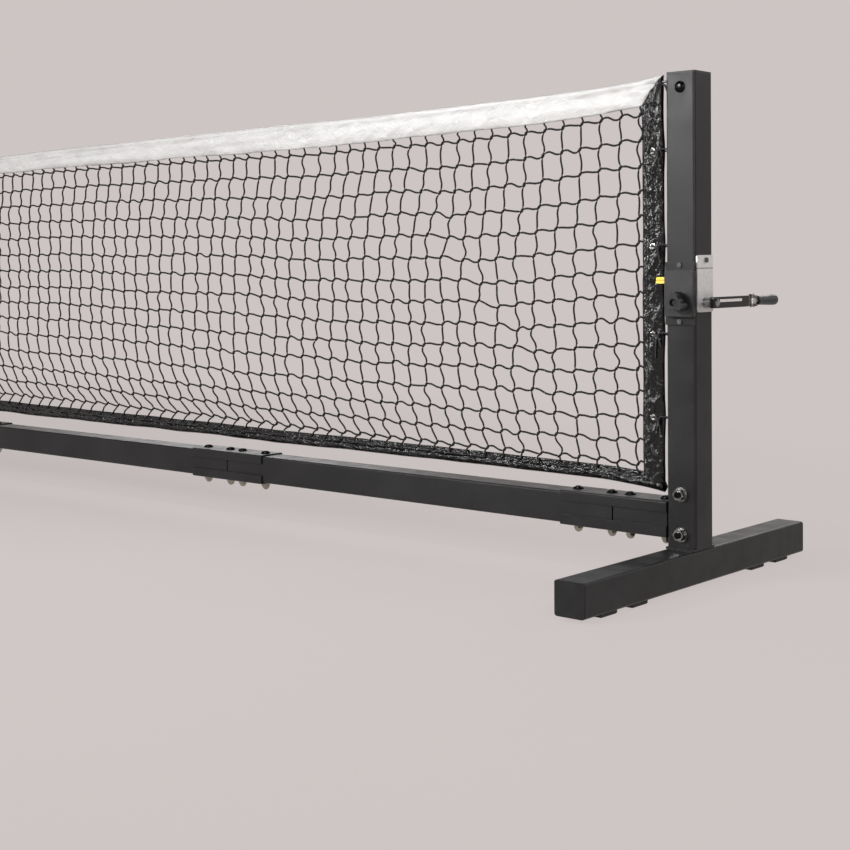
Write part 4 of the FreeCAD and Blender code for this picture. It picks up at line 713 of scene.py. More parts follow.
# The stage.
@dataclass
class Stage:
    """Camera, pale floor, backdrop and soft studio lights."""

    place: tuple = (4.819, -2.412, 0.597)
    turn: float = 41.02
    tilt: float = 1.59
    roll: float = 0.46
    lens: float = 65.35
    rise: float = -0.147
    backdrop: tuple = (0.610, 0.558, 0.546)
    overhead: tuple = (0.07, 0.07, 0.07)
    overhead_from: tuple = (0.24, 0.52)
    floor_size: float = 120.0
    floor_fade: tuple = (1.0, 2.7)
    floor_glow: float = 0.76
    floor_colour: tuple = (0.62, 0.57, 0.56)
    lamps: tuple = (
        ("key", (0.6, -5.0, 2.6), (2.8, 0, 0.6), (2.2, 1.2), 150),
        ("rim", (6.6, 3.4, 3.0), (3.2, 0, 0.6), (1.6, 1.2), 60),
        ("far_key", (-3.4, -5.0, 3.0), (-2.6, 0, 0.6), (2.6, 1.6), 19),
        ("left_strip", (1.9, -3.0, 1.7), (3.2, 0, 0.6), (0.16, 0.8), 20),
        ("right_strip", (5.2, -1.6, 1.5), (3.3, 0, 0.6), (0.10, 0.8), 16),
        ("band_strip", (2.3, -2.0, 1.35), (3.28, 0, 0.7), (0.10, 0.5), 9),
        ("side_strip", (0.7, -1.7, 0.95), (3.28, 0, 0.6), (0.08, 1.2), 0.9, 30),
        ("front_strip", (4.3, -3.3, 1.55), (3.28, 0, 0.6), (0.07, 0.9), 8),
        ("outer_strip", (5.9, -2.3, 1.1), (3.28, 0, 0.6), (0.09, 1.0), 12),
        ("back_soft", (1.2, 3.8, 2.6), (3.2, 0, 0.1), (1.8, 0.5), 13),
        ("back_fill", (2.2, 5.2, 3.2), (0.8, 0, 0.5), (2.6, 1.2), 42),
        ("back_left", (-3.6, 5.0, 3.2), (-2.4, 0, 0.5), (2.6, 1.2), 60),
        ("top_strip", (3.0, -1.5, 2.8), (3.2, 0, 0.6), (1.0, 0.16), 24),
    )

    def camera(self) -> None:
        """Puts the camera where the large view was taken from."""
        turn, tilt, roll = (math.radians(value) for value in (self.turn, self.tilt, self.roll))
        ahead = Vector((-math.sin(turn) * math.cos(tilt), math.cos(turn) * math.cos(tilt), -math.sin(tilt)))
        right = Vector((math.cos(turn), math.sin(turn), 0))
        down = ahead.cross(right)
        across = right * math.cos(roll) + down * math.sin(roll)
        below = down * math.cos(roll) - right * math.sin(roll)
        data = bpy.data.cameras.new("camera")
        data.lens = self.lens
        data.sensor_width = 36
        data.shift_y = self.rise
        data.clip_start = 0.05
        data.clip_end = 500
        camera = bpy.data.objects.new("camera", data)
        axes = Matrix((across, -below, -ahead)).transposed().to_4x4()
        camera.matrix_world = Matrix.Translation(self.place) @ axes
        bpy.context.scene.collection.objects.link(camera)
        bpy.context.scene.camera = camera

    def sky(self) -> None:
        """Fills the surroundings with the backdrop's even colour, dimmer overhead."""
        world = bpy.data.worlds.new("surroundings")
        world.use_nodes = True
        tree = world.node_tree
        place = tree.nodes.new("ShaderNodeTexCoord")
        split = tree.nodes.new("ShaderNodeSeparateXYZ")
        share = tree.nodes.new("ShaderNodeMapRange")
        mixed = tree.nodes.new("ShaderNodeMix")
        mixed.data_type = "RGBA"
        share.inputs[1].default_value, share.inputs[2].default_value = self.overhead_from
        mixed.inputs[MIX_FIRST].default_value = (*self.backdrop, 1)
        mixed.inputs[MIX_SECOND].default_value = (*self.overhead, 1)
        tree.links.new(place.outputs["Generated"], split.inputs[0])
        tree.links.new(split.outputs[2], share.inputs[0])
        tree.links.new(share.outputs[0], mixed.inputs["Factor"])
        tree.links.new(mixed.outputs[MIX_RESULT], tree.nodes["Background"].inputs["Color"])
        bpy.context.scene.world = world

    def floor(self) -> None:
        """Lays the floor, pale and matt near the net and melting into the backdrop far from it."""
        bpy.ops.mesh.primitive_plane_add(size=self.floor_size, location=(0, 0, -0.0005))
        plane = bpy.context.active_object
        plane.name = "floor"
        work = Wiring("floor_paint")
        length = work.node("ShaderNodeVectorMath", operation="LENGTH")
        work.join(work.stretched((0.55, 1, 1)), length.inputs[0])
        far = work.span(length.outputs["Value"], *self.floor_fade, self.floor_glow, 1)
        work.set(Base_Color=self.floor_colour, Roughness=0.9, Specular_IOR_Level=0.0)
        glow = work.node("ShaderNodeEmission")
        glow.inputs["Color"].default_value = (*self.backdrop, 1)
        mixed = work.node("ShaderNodeMixShader")
        work.join(far, mixed.inputs[0])
        work.join(work.shader.outputs["BSDF"], mixed.inputs[1])
        work.join(glow.outputs["Emission"], mixed.inputs[2])
        out = next(node for node in work.tree.nodes if node.type == "OUTPUT_MATERIAL")
        work.join(mixed.outputs[0], out.inputs["Surface"])
        plane.data.materials.append(work.material)

    def lamp(self, name: str, place: tuple, aim: tuple, size: tuple, watts: float,
             spread: float = 180) -> None:
        """Adds one soft rectangular light, held to a cone where a spread in degrees is given."""
        data = bpy.data.lights.new(name, "AREA")
        data.shape = "RECTANGLE"
        data.size, data.size_y = size
        data.energy = watts
        data.spread = math.radians(spread)
        lamp = bpy.data.objects.new(name, data)
        lamp.location = place
        lamp.rotation_mode = "QUATERNION"
        lamp.rotation_quaternion = (Vector(aim) - Vector(place)).to_track_quat("-Z", "Y")
        bpy.context.scene.collection.objects.link(lamp)

    def build(self) -> None:
        """Makes the whole stage. A lamp's row is its name, place, aim, size, watts and spread."""
        self.camera()
        self.sky()
        self.floor()
        bpy.context.scene.view_settings.view_transform = "Standard"
        for row in self.lamps:
            self.lamp(*row)


# Cords.
@dataclass
class TensionCable:
    """The coated steel cable in the tape, from its eye in the left post over the pulley to the spool."""

    radius: float = 0.0025
    length: float = 7.11
    step: float = 0.012
    sides: int = 10
    eye_height: float = 0.9135
    eye_radius: float = 0.0065
    eye_cord: float = 0.0021
    eye_rings: int = 41

    def route(self) -> list:
        """Returns the control points of the cable's line: eye, tape, pulley and spool."""
        return [
            (-3.347, 0, 0.9135), (-3.290, 0, 0.9125), (-2.900, 0, 0.8975), (-1.700, 0, 0.8830),
            (-0.500, 0, 0.8650), (0, 0, 0.8585), (0.500, 0, 0.8650), (1.700, 0, 0.8830),
            (2.900, 0, 0.8975), (3.290, 0, 0.9125), (3.339, 0, 0.9133), (3.3693, 0, 0.9133),
            (3.3693, 0, 0.8840), (3.369, 0, 0.8370), (3.344, -0.0198, 0.5120),
        ]

    def build(self, finish: bpy.types.Material) -> bpy.types.Object:
        """Makes the cable and the eye at its left end.

        Args:
            finish: the coated strand.

        Returns:
            The cable.
        """
        line = evenly(curve_line("cable_route", self.route(), 24), self.step)
        points, faces, flat = tube_grid(line, self.radius, self.sides, 0)
        cable = mesh_piece("tension_cable_strand", points, faces, flat, finish)
        eye = self.eye(finish)
        for piece in (cable, eye):
            settle(piece, "tension_cable")
        return cable

    def eye(self, finish: bpy.types.Material) -> bpy.types.Object:
        """Makes the loop of cable round the left anchor."""
        turn = np.linspace(0, 2 * math.pi, self.eye_rings)
        centre = np.array((-HALF_SPAN, 0, self.eye_height))
        loop = centre + self.eye_radius * np.stack([np.cos(turn), np.zeros_like(turn), np.sin(turn)], 1)
        points, faces, flat = tube_grid(loop, self.eye_cord, self.sides, 0)
        return mesh_piece("tension_cable_eye", points, faces, flat, finish)


@dataclass
class PostTies:
    """Cord ties from the band's grommets to the eyes on the posts, each knotted with two loose tails."""

    heights: tuple = TIE_HEIGHTS
    grommet: float = GROMMET_PLACE
    eye: float = 3.3140
    radius: float = 0.00155
    sides: int = 8
    step: float = 0.0025
    tail: float = 0.026
    knot_turns: float = 2.3
    knot_rings: int = 60
    leans: tuple = (-0.2, 0.8)
    seed: int = 11

    def route(self, sign: int, height: float, lean: float) -> list:
        """Returns the control points of one tie: tail, knot, round the loop, knot, tail."""
        g, e, knot = self.grommet * sign, self.eye * sign, (self.grommet + 0.013) * sign
        z = height
        return [
            (knot - sign * 0.004, -0.0085 - lean * 0.002, z - self.tail * (1 + lean)),
            (knot - sign * 0.006 * lean, -0.0090, z - self.tail * 0.55),
            (knot, -0.0080, z - 0.003),
            (knot + sign * 0.003, -0.0068, z + 0.0024),
            (e - sign * 0.006, -0.0062, z + 0.0022),
            (e + sign * 0.0020, -0.0040, z + 0.0014),
            (e + sign * 0.0028, 0.0040, z - 0.0004),
            (e - sign * 0.006, 0.0066, z - 0.0012),
            (g + sign * 0.006, 0.0070, z - 0.0010),
            (g - sign * 0.0005, 0.0052, z),
            (g - sign * 0.0012, -0.0048, z),
            (g + sign * 0.005, -0.0072, z - 0.0012),
            (knot, -0.0086, z - 0.0018),
            (knot + sign * 0.002, -0.0112, z - 0.006),
            (knot + sign * (0.004 + 0.003 * lean), -0.0095, z - self.tail * 0.6),
            (knot + sign * (0.006 + 0.002 * lean), -0.0088, z - self.tail * (1.25 - 0.5 * lean)),
        ]

    def knot(self, name: str, at: tuple, finish: bpy.types.Material) -> bpy.types.Object:
        """Makes the wrapped knot of one tie from a few rounds of cord."""
        turn = np.linspace(0, self.knot_turns * 2 * math.pi, self.knot_rings)
        lift = np.linspace(-1, 1, self.knot_rings)
        line = np.array(at) + np.stack([
            0.0030 * np.cos(turn) + 0.0006 * lift, 0.0026 * np.sin(turn) - 0.0012, 0.0024 * lift], 1)
        points, faces, flat = tube_grid(line, self.radius, self.sides, 0)
        return mesh_piece(name, points, faces, flat, finish)

    def build(self, finish: bpy.types.Material) -> list:
        """Args:
            finish: the black cord.

        Returns:
            The ties and their knots.
        """
        made = []
        random = np.random.default_rng(self.seed)
        for side, sign in (("left", -1), ("right", 1)):
            for number, height in enumerate(self.heights, start=1):
                route = self.route(sign, height, float(random.uniform(*self.leans)))
                line = evenly(curve_line("tie_route", route, 16), self.step)
                points, faces, flat = tube_grid(line, self.radius, self.sides, 0)
                tie = mesh_piece(f"{side}_tie_{number}", points, faces, flat, finish)
                knot = self.knot(f"{side}_tie_knot_{number}", route[2], finish)
                for piece in (tie, knot):
                    settle(piece, "net_ties")
                made += [tie, knot]
        return made


# Cloth.
@dataclass
class TopTape:
    """The white tape folded over the cable, stitched under it and along its lower edge."""

    height: float = 0.050
    sleeve: float = 0.0044
    rows_across: int = 15
    crowding: float = 1.35
    step: float = 0.0075
    thick: float = 0.0005
    long_fold: float = 0.0042
    long_fold_end: float = 2.75
    sway: float = 0.0017
    pucker: float = 0.0026
    fine_fold: float = 0.0017
    seam_drag: float = 0.0040
    seam_reach: float = 0.16
    wave: float = 0.0009
    frill: float = 0.0011
    frill_end: float = 3.1
    seed: int = 3

    def half_depth(self, down: np.ndarray) -> np.ndarray:
        """Returns how far each face stands from the middle, at a depth below the upper edge."""
        round_top = np.sqrt(np.clip(self.sleeve ** 2 - (self.sleeve - down) ** 2, 0, None))
        below = np.interp(down, (0.0044, 0.009, 0.014, 0.026, 0.038, 0.046, 0.050),
                          (0.0044, 0.0036, 0.0016, 0.0026, 0.0027, 0.0013, 0.0010))
        return np.where(down < self.sleeve, round_top, below)

    def folded(self, x: np.ndarray, depth: np.ndarray, side: np.ndarray, down: np.ndarray,
               ripple: Ripple) -> np.ndarray:
        """Returns how far each point stands to the back, folds and puckers among it.

        Args:
            x: places along the net.
            depth: the share of the tape's height below its upper edge.
            side: -1 on the front and 1 on the back.
            down: the depth in metres.
            ripple: the tape's noise.

        Returns:
            The points' y.
        """
        belly = np.sin(math.pi * depth)
        calm = np.clip((self.long_fold_end - np.abs(x)) * 1.6, 0.35, 1)
        long = self.long_fold * ripple.creases(x * 1.7 + 4 + depth * 0.7, depth * 2.1 + x * 0.8, 3)
        long = long * calm * belly
        shared = self.sway * ripple.layered(x * 9, depth * 1.3, 3) * depth
        bulge = np.sin(math.pi * np.clip(depth, 0, 1)) ** 0.6
        pucker = self.pucker * ripple.creases(x * 19 + depth * 1.2, depth * 1.3 + 5, 3) * bulge
        low = np.clip((depth - 0.15) * 3, 0, 1)
        fine = self.fine_fold * ripple.creases(x * 60, depth * 0.8 + 11, 2) * low
        near_seam = np.clip((np.abs(x) - (SEAM_FOOT - self.seam_reach)) / self.seam_reach, 0, 1)
        drag = self.seam_drag * near_seam * np.sin(np.abs(x) * 60 - depth * 5) * belly
        y = side * (self.half_depth(down) + pucker + fine * 0.6 + long) + shared + drag
        y[:, self.rows_across] = shared[:, self.rows_across]
        return y

    def build(self, finish: bpy.types.Material) -> bpy.types.Object:
        """Makes the tape.

        Args:
            finish: the white vinyl.

        Returns:
            The tape.
        """
        wrap = np.linspace(-1, 1, 2 * self.rows_across + 1)
        down = self.height * np.abs(wrap) ** self.crowding
        side = np.where(wrap < 0, -1, 1)
        share = np.linspace(-1, 1, int(2 * SEAM_TOP / self.step))[:, None]
        x = share * (SEAM_TOP + (SEAM_FOOT - SEAM_TOP) * down / self.height)[None, :]
        ripple = Ripple(self.seed)
        depth = down[None, :] / self.height
        y = self.folded(x, depth, side, down, ripple)
        wave = self.wave * ripple.at(x * 7, np.zeros_like(x)) * (1 + 1.2 * depth)
        calm = np.clip((self.frill_end - np.abs(x)) * 2, 0.2, 1)
        frill = self.frill * ripple.layered(x * 33, np.zeros_like(x), 2) * calm
        z = tape_top(x) - depth * tape_height(x) + wave + frill * depth ** 4
        flat = np.stack([x, np.broadcast_to(wrap * self.height, x.shape)], -1)
        tape = strip("top_tape_cloth", np.stack([x, y, z], -1), flat, finish)
        apply_modifier(tape, "SOLIDIFY", thickness=self.thick, offset=1.0)
        settle(tape, "top_tape")
        return tape


@dataclass
class SideBand:
    """The black glossy band at one end of the mesh, folded at its outer edge and crumpled.

    The roll gives how far a face stands out by its share of the way inwards. A fold's row is its share of
    the way inwards, its height, its reach up and down, its slant and its rise.
    """

    sign: int
    inner: float = 3.254
    outer: float = 3.302
    bottom: float = 0.176
    top: float = 0.920
    under_tape: float = 0.0455
    hole: float = 0.0046
    grommet_lift: float = 0.0029
    across: int = 22
    step: float = 0.0022
    thick: float = 0.0006
    large: float = 0.0017
    crease: float = 0.0027
    small: float = 0.0009
    tie_pull: float = 0.0011
    sway: float = 0.0018
    edge_sway: float = 0.0015
    waist: float = 0.0022
    fold_width: float = 0.085
    seed: int = 21
    roll: tuple = (
        (0, 0), (0.03, 0.0020), (0.12, 0.0038), (0.26, 0.0048), (0.42, 0.0050), (0.56, 0.0041),
        (0.68, 0.0022), (0.78, 0.0013), (0.9, 0.0011), (1, 0.0006),
    )
    folds: tuple = (
        (0.42, 0.875, 0.042, -0.8, 0.0030), (0.62, 0.835, 0.026, 5.0, 0.0022),
        (0.30, 0.765, 0.020, -6.0, 0.0024), (0.45, 0.735, 0.030, 7.0, 0.0024),
        (0.50, 0.675, 0.032, 1.5, 0.0020), (0.35, 0.590, 0.024, -7.0, 0.0024),
        (0.55, 0.545, 0.030, 4.0, 0.0018), (0.40, 0.475, 0.022, -6.0, 0.0022),
        (0.48, 0.400, 0.060, 0.6, 0.0012), (0.40, 0.322, 0.020, -8.0, 0.0022),
        (0.52, 0.275, 0.022, 7.0, 0.0022), (0.45, 0.215, 0.030, 3.0, 0.0026),
    )

    def upper_edge(self, x: np.ndarray) -> np.ndarray:
        """Returns where the band ends under the tape's slanting seam."""
        foot = float(tape_top(np.array(SEAM_FOOT))) - self.under_tape
        high = float(tape_top(np.array(SEAM_TOP))) - self.thick
        return np.interp(x, (self.inner, SEAM_FOOT, SEAM_TOP, self.outer), (foot, foot, high, high))

    def round_grommets(self, x: np.ndarray, z: np.ndarray) -> tuple:
        """Returns where the band lies flat round a grommet, and the pull of the ties on its folds."""
        near = np.zeros_like(z)
        pull = np.zeros_like(z)
        for height in TIE_HEIGHTS:
            gap = np.hypot(x - GROMMET_PLACE, z - height)
            near = np.maximum(near, np.clip(1.35 - gap / 0.011, 0, 1))
            turn = np.arctan2(z - height, self.outer + 0.012 - x)
            fade = np.exp(-((z - height) / 0.035) ** 2)
            pull += fade * np.sin(turn * 9 + self.sign) * self.tie_pull
        return near, pull

    def crumpled(self, x: np.ndarray, z: np.ndarray, inset: np.ndarray, side: np.ndarray,
                 pull: np.ndarray, ripple: Ripple) -> np.ndarray:
        """Returns how far each face stands from the band's middle plane.

        Args:
            x: places along the net.
            z: heights.
            inset: the share of the way from the outer edge to the inner one.
            side: -1 on the front and 1 on the back.
            pull: the ties' pull.
            ripple: the band's noise.

        Returns:
            The rolled body with its crumples and its main folds.
        """
        inner_part = np.clip(inset[None, :] * 1.35, 0, 1)
        ends = np.exp(-(z - self.bottom) / 0.05) + np.exp(-(self.top - z) / 0.09)
        strength = 0.22 + 0.55 * inner_part ** 2 + 0.6 * ends
        layer = side[None, :] * 3.7
        large = ripple.layered(x * 30 + layer, z * 13, 2)
        creases = ripple.creases(x * 52 + 5 + layer, z * 30 + ripple.at(z * 20, x * 40) * 0.9, 3)
        small = ripple.creases(x * 120 + 9 + layer, z * 80, 2)
        puff = 0.0009 + self.large * large + self.crease * creases + self.small * small + pull
        edge = np.clip(np.minimum(inset, 1.02 - inset)[None, :] * 9, 0, 1)
        lift = by_place(inset, self.roll)[None, :] + np.clip(puff * strength, -0.0012, 0.0036) * edge
        for across_share, height, reach, slant, rise in self.folds:
            line = across_share + (z - height) * slant + 0.05 * ripple.at(z * 40 + layer, z * 0)
            window = np.clip(1.3 - np.abs(z - height) / reach, 0, 1)
            lift = lift + rise * window * np.exp(-((inset[None, :] - line) / self.fold_width) ** 2)
        return lift

    def build(self, finish: bpy.types.Material) -> bpy.types.Object:
        """Makes the band.

        Args:
            finish: the black vinyl.

        Returns:
            The band.
        """
        wrap = np.linspace(-1, 1, 2 * self.across + 1)
        inset = np.abs(wrap) ** 1.15
        plain_x = self.outer - (self.outer - self.inner) * inset
        top = self.upper_edge(plain_x)
        share = np.linspace(0, 1, int((self.top - self.bottom) / self.step))[:, None]
        z = self.bottom + (top - self.bottom)[None, :] * share
        x = np.broadcast_to(plain_x[None, :], z.shape).copy()
        side = np.where(wrap < 0, -1.0, 1.0)
        ripple = Ripple(self.seed + self.sign)
        near, pull = self.round_grommets(x, z)
        lift = self.crumpled(x, z, inset, side, pull, ripple)
        lift = lift * (1 - near) + self.grommet_lift * near
        shared = self.sway * ripple.layered(z * 9, x * 0, 2) * (1 - near)
        y = side[None, :] * lift + shared
        y[:, self.across] = shared[:, self.across]
        sway = self.edge_sway * ripple.layered(z * 14, np.zeros_like(z), 2)
        pinch = sum(np.exp(-((z - height) / 0.03) ** 2) for height in TIE_HEIGHTS)
        drawn_in = self.waist * (1 - inset[None, :]) * (1 - pinch)
        x += sway * (0.4 + 0.6 * inset[None, :]) * (1 - near) - drawn_in
        flat = np.stack([z, np.broadcast_to(wrap * (self.outer - self.inner), z.shape)], -1)
        points = np.stack([x * self.sign, y, z], -1)
        middle = (x[:-1, :-1] + x[1:, 1:]) / 2, (z[:-1, :-1] + z[1:, 1:]) / 2
        keep = np.ones(middle[0].shape, bool)
        for height in TIE_HEIGHTS:
            keep &= np.hypot(middle[0] - GROMMET_PLACE, middle[1] - height) > self.hole
        band = strip(self.name(), points, flat, finish, keep)
        apply_modifier(band, "SOLIDIFY", thickness=self.thick, offset=-float(self.sign))
        settle(band, self.node())
        return band

    def name(self) -> str:
        """Returns the piece's name."""
        return self.node() + "_cloth"

    def node(self) -> str:
        """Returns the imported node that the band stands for."""
        return ("right" if self.sign > 0 else "left") + "_side_band"


@dataclass
class BottomBand:
    """The narrow black hem under the mesh, folded round a cord.

    The body gives how far a face stands out by its share of the way up.
    """

    reach: float = HEM_END
    cut_width: float = 0.054
    across: int = 12
    step: float = 0.006
    thick: float = 0.0006
    crease: float = 0.0012
    fine_crease: float = 0.0006
    slant_fold: float = 0.0026
    puff: float = 0.0008
    sway: float = 0.0016
    wave: float = 0.0014
    corner_place: float = 3.250
    corner_body: float = 0.35
    seed: int = 37
    body: tuple = (
        (0, 0), (0.08, 0.0030), (0.28, 0.0048), (0.48, 0.0036), (0.58, 0.0016), (0.64, 0.0010), (1, 0.0008),
    )

    def build(self, finish: bpy.types.Material) -> bpy.types.Object:
        """Makes the hem.

        Args:
            finish: the black vinyl.

        Returns:
            The hem.
        """
        wrap = np.linspace(-1, 1, 2 * self.across + 1)
        up = np.abs(wrap)
        count = int(2 * self.reach / self.step)
        x = np.linspace(-self.reach, self.reach, count)[:, None] * np.ones((1, len(wrap)))
        ripple = Ripple(self.seed)
        side = np.where(wrap < 0, -1.0, 1.0)[None, :]
        body = by_place(up, self.body)[None, :]
        roll = np.clip((0.62 - up) * 8, 0.12, 1)[None, :]
        up = up[None, :]
        creases = ripple.creases(x * 38 + side * 3.1, up * 1.4 + 3, 3)
        fine = ripple.creases(x * 95 + side * 1.3, up * 2.2 + 7, 2)
        slant = ripple.creases(x * 21 + up * 2.2 + side * 2.3, up * 0.9 + 13, 2)
        puff = self.crease * creases + self.fine_crease * fine + self.slant_fold * slant
        puff = puff + self.puff * ripple.layered(x * 11, up + side, 2)
        shared = self.sway * ripple.layered(x * 6, 0 * x, 2)
        corner = np.clip((np.abs(x) - self.corner_place) / 0.012, 0, 1)
        body = body * (1 + self.corner_body * corner)
        y = side * (body + puff * roll * np.sin(math.pi * up) ** 0.5) + shared
        y[:, self.across] = shared[:, self.across]
        wave = self.wave * ripple.layered(x * 8 + 40, 0 * x, 2)
        z = hem_low(x) + (hem_top(x) - hem_low(x)) * up + wave * (1 - 0.3 * up)
        flat = np.stack([x, np.broadcast_to(wrap * self.cut_width / 2, x.shape)], -1)
        hem = strip("bottom_band_cloth", np.stack([x, y, z], -1), flat, finish)
        apply_modifier(hem, "SOLIDIFY", thickness=self.thick, offset=-1.0)
        settle(hem, "bottom_band")
        return hem


@dataclass
class Mesh:
    """The knotted mesh: square cells of twisted cord between the tape, the bands and the hem.

    Tables give a shift by the place along the net. Lean share goes by the height, and sag share by the row.
    """

    reach: float = 3.259
    tape_lap: float = 0.003
    hem_lap: float = 0.008
    hem_side: float = 0.0036
    end_lift: float = 0.008
    sway_spread: float = 0.0006
    columns: int = 143
    rows: int = 15
    end_stretch: float = 0.025
    end_cell: float = 0.34
    low_cell: float = 0.34
    top_cell: float = 0.27
    radius: float = 0.0020
    pieces: int = 6
    parts: int = 6
    sides: int = 6
    seed: int = 5
    slip_column: float = 2.802
    slip_height: float = 0.64
    slip_slope: float = 0.885
    knot_girth: tuple = (0.35, 0.85, 1.15, 0.95, 1.15, 0.85, 0.35)
    low_shift: tuple = (0.045, 0.074, 0.043, 0.025, 0.006)
    low_lift: tuple = (0.0, 0.0055, -0.0010, -0.0060, -0.0040)
    low_shear: tuple = ((0.1, 0), (0.5, 1), (1.9, 1), (2.6, 0.5), (3.1, 0.15), (3.24, 0))
    end_lean: tuple = (0.030, 0.029, 0.026, 0.024, 0.018, 0.009, 0.002)
    end_share: tuple = ((2.35, 0), (2.75, 1), (3.0, 1), (3.15, 0.6), (3.24, 0.35), (3.25, 0))
    lean_foot: tuple = (
        (0.1, 0), (0.5, 0.014), (1.38, 0.014), (1.58, 0.017), (1.78, 0.016), (1.98, 0.013), (2.18, 0.009),
        (2.38, 0.006), (2.58, 0.003), (2.78, 0),
    )
    lean_rise: tuple = (
        (0.1, 0), (0.5, 0.020), (1.38, 0.022), (1.58, 0.030), (1.78, 0.034), (1.98, 0.033), (2.18, 0.036),
        (2.38, 0.037), (2.58, 0.022), (2.78, 0.010), (2.98, 0),
    )
    lean_share: tuple = (
        (0.36, 0), (0.49, 0.25), (0.635, 0.5), (0.68, 0.6), (0.72, 0.8), (0.765, 1.25), (0.81, 1.65),
    )
    sag: tuple = (
        (1.6, 0), (2.0, 0.0125), (2.4, 0.0255), (2.7, 0.028), (3.0, 0.024), (3.18, 0.0145), (3.25, 0.013),
    )
    sag_share: tuple = ((0, 0.29), (1, 0.53), (3, 0.77), (5, 1.0), (8, 1.0), (11, 0.70), (14, 0.25))
    row_wave: tuple = ((1.6, 0.0008), (2.6, 0.0013), (3.0, 0.0021))

    def levels(self) -> tuple:
        """Returns the columns from -1 to 1 and the rows from 0 to 1, cord ends among them."""
        last = self.columns - 1 + 2 * self.end_cell
        even = np.concatenate([[0], self.end_cell + np.arange(self.columns), [last]]) / last * 2 - 1
        columns = even * (1 - self.end_stretch + self.end_stretch * even ** 2)
        last = self.rows - 1 + self.low_cell + self.top_cell
        return columns, np.concatenate([[0], self.low_cell + np.arange(self.rows), [last]]) / last

    def slip(self, x: np.ndarray, z: np.ndarray) -> tuple:
        """Returns how far the long diagonal pull moves the knots, sideways and up."""
        gap = (x - self.slip_column) + (z - self.slip_height) * self.slip_slope
        across = 0.0085 * np.exp(-(gap / 0.030) ** 2) - 0.0045 * np.exp(-((gap + 0.065) / 0.045) ** 2)
        up = -0.0045 * np.tanh(gap / 0.016) * np.exp(-np.abs(gap) / 0.20)
        return across, up - 0.0055 * np.exp(-(gap / 0.025) ** 2)

    def knots(self) -> np.ndarray:
        """Returns where the knots and the cord ends are, columns by rows by 3."""
        random = np.random.default_rng(self.seed)
        columns, rows = self.levels()
        x = (columns * (self.reach - 0.001))[:, None] * np.ones((1, len(rows)))
        low, high = hem_top(x), tape_top(x) - tape_height(x) + self.tape_lap
        z = low + (high - low) * rows[None, :]
        ripple = Ripple(self.seed)
        edge = np.clip((1 - np.abs(columns[:, None])) * 24, 0, 1)
        inside = np.sin(math.pi * rows)[None, :] ** 0.5 * edge
        drift_x = 0.0060 * ripple.layered(x * 2.6, z * 4.5, 2) + random.normal(0, 0.0017, x.shape)
        drift_z = 0.0045 * ripple.layered(x * 3.1 + 30, z * 5.0 + 8, 2) + random.normal(0, 0.0014, x.shape)
        across, up = self.slip(x, z)
        drift_x += across
        drift_z += up
        x, z = self.drawn(x, z)
        y = 0.0016 * ripple.layered(x * 4 + 60, z * 4, 2) * inside
        y[:, 0] -= self.hem_side
        z[:, 0] -= self.hem_lap
        z[[0, -1], 1:-1] += self.end_lift
        return np.stack([x + drift_x * inside, y, z + drift_z * inside], -1)

    def drawn(self, x: np.ndarray, z: np.ndarray) -> tuple:
        """Draws the knots to where the pull of the tape, the hem and the posts holds them.

        Args:
            x: the knots' even places along the net, columns by rows.
            z: their even heights.

        Returns:
            The places and the heights.
        """
        shear = np.sign(x) * by_place(x, self.low_shear)
        lean = by_place(x, self.lean_rise) * by_place(z, self.lean_share)
        lean += by_place(x, self.lean_foot) * np.interp(z, (0.25, 0.36), (0.6, 1))
        for number, (shift, lift) in enumerate(zip(self.low_shift, self.low_lift)):
            x[:, number] += shift * shear[:, number]
            z[:, number] += lift * np.abs(shear[:, number])
        x += np.sign(x) * lean
        towards_end = np.sign(x) * by_place(x, self.end_share)
        for number, shift in enumerate(self.end_lean):
            x[:, -1 - number] += shift * towards_end[:, -1 - number]
        rows, shares = zip(*self.sag_share)
        share = np.interp(np.arange(z.shape[1]) - 1, rows, shares)
        share[[0, -1]] = 0
        return x, z - by_place(x, self.sag) * share[None, :]

    def bow(self, random: np.random.Generator, curl: float, curl_spread: float, arch: float,
            arch_spread: float) -> tuple:
        """Draws how a run of cord curls, arches and sways, in metres."""
        return (random.normal(curl, curl_spread), random.normal(arch, arch_spread),
                random.normal(0, self.sway_spread))

    def run(self, start: np.ndarray, end: np.ndarray, across: np.ndarray, bow: tuple) -> np.ndarray:
        """Returns the curled line of cord between two knots."""
        share = np.linspace(0, 1, self.parts + 1)[:, None]
        curl = bow[0] * np.sin(2 * math.pi * share) + bow[1] * np.sin(math.pi * share)
        sway = bow[2] * np.sin(math.pi * share)
        return start + (end - start) * share + across * curl + np.array((0, 1, 0)) * sway

    def tie(self, random: np.random.Generator) -> tuple:
        """Returns the points, faces and map of one small knot round the origin, leaning to the right."""
        around, along = 8, len(self.knot_girth)
        turn = np.arange(around) * 2 * math.pi / around
        level = np.linspace(-1, 1, along) * self.radius * 2.7
        girth = np.array(self.knot_girth) * self.radius * 1.6
        points = np.stack([
            girth[:, None] * np.cos(turn)[None, :],
            girth[:, None] * np.sin(turn)[None, :] * 0.9,
            level[:, None] * np.ones((1, around)),
        ], -1)
        points[..., 0] += points[..., 2] * random.normal(0.75, 0.2)
        faces = grid_faces(along, around, True)[:, ::-1]
        flat = np.stack([(faces // around) * 0.002, (faces % around) / around], -1)
        return points.reshape(-1, 3), faces, flat

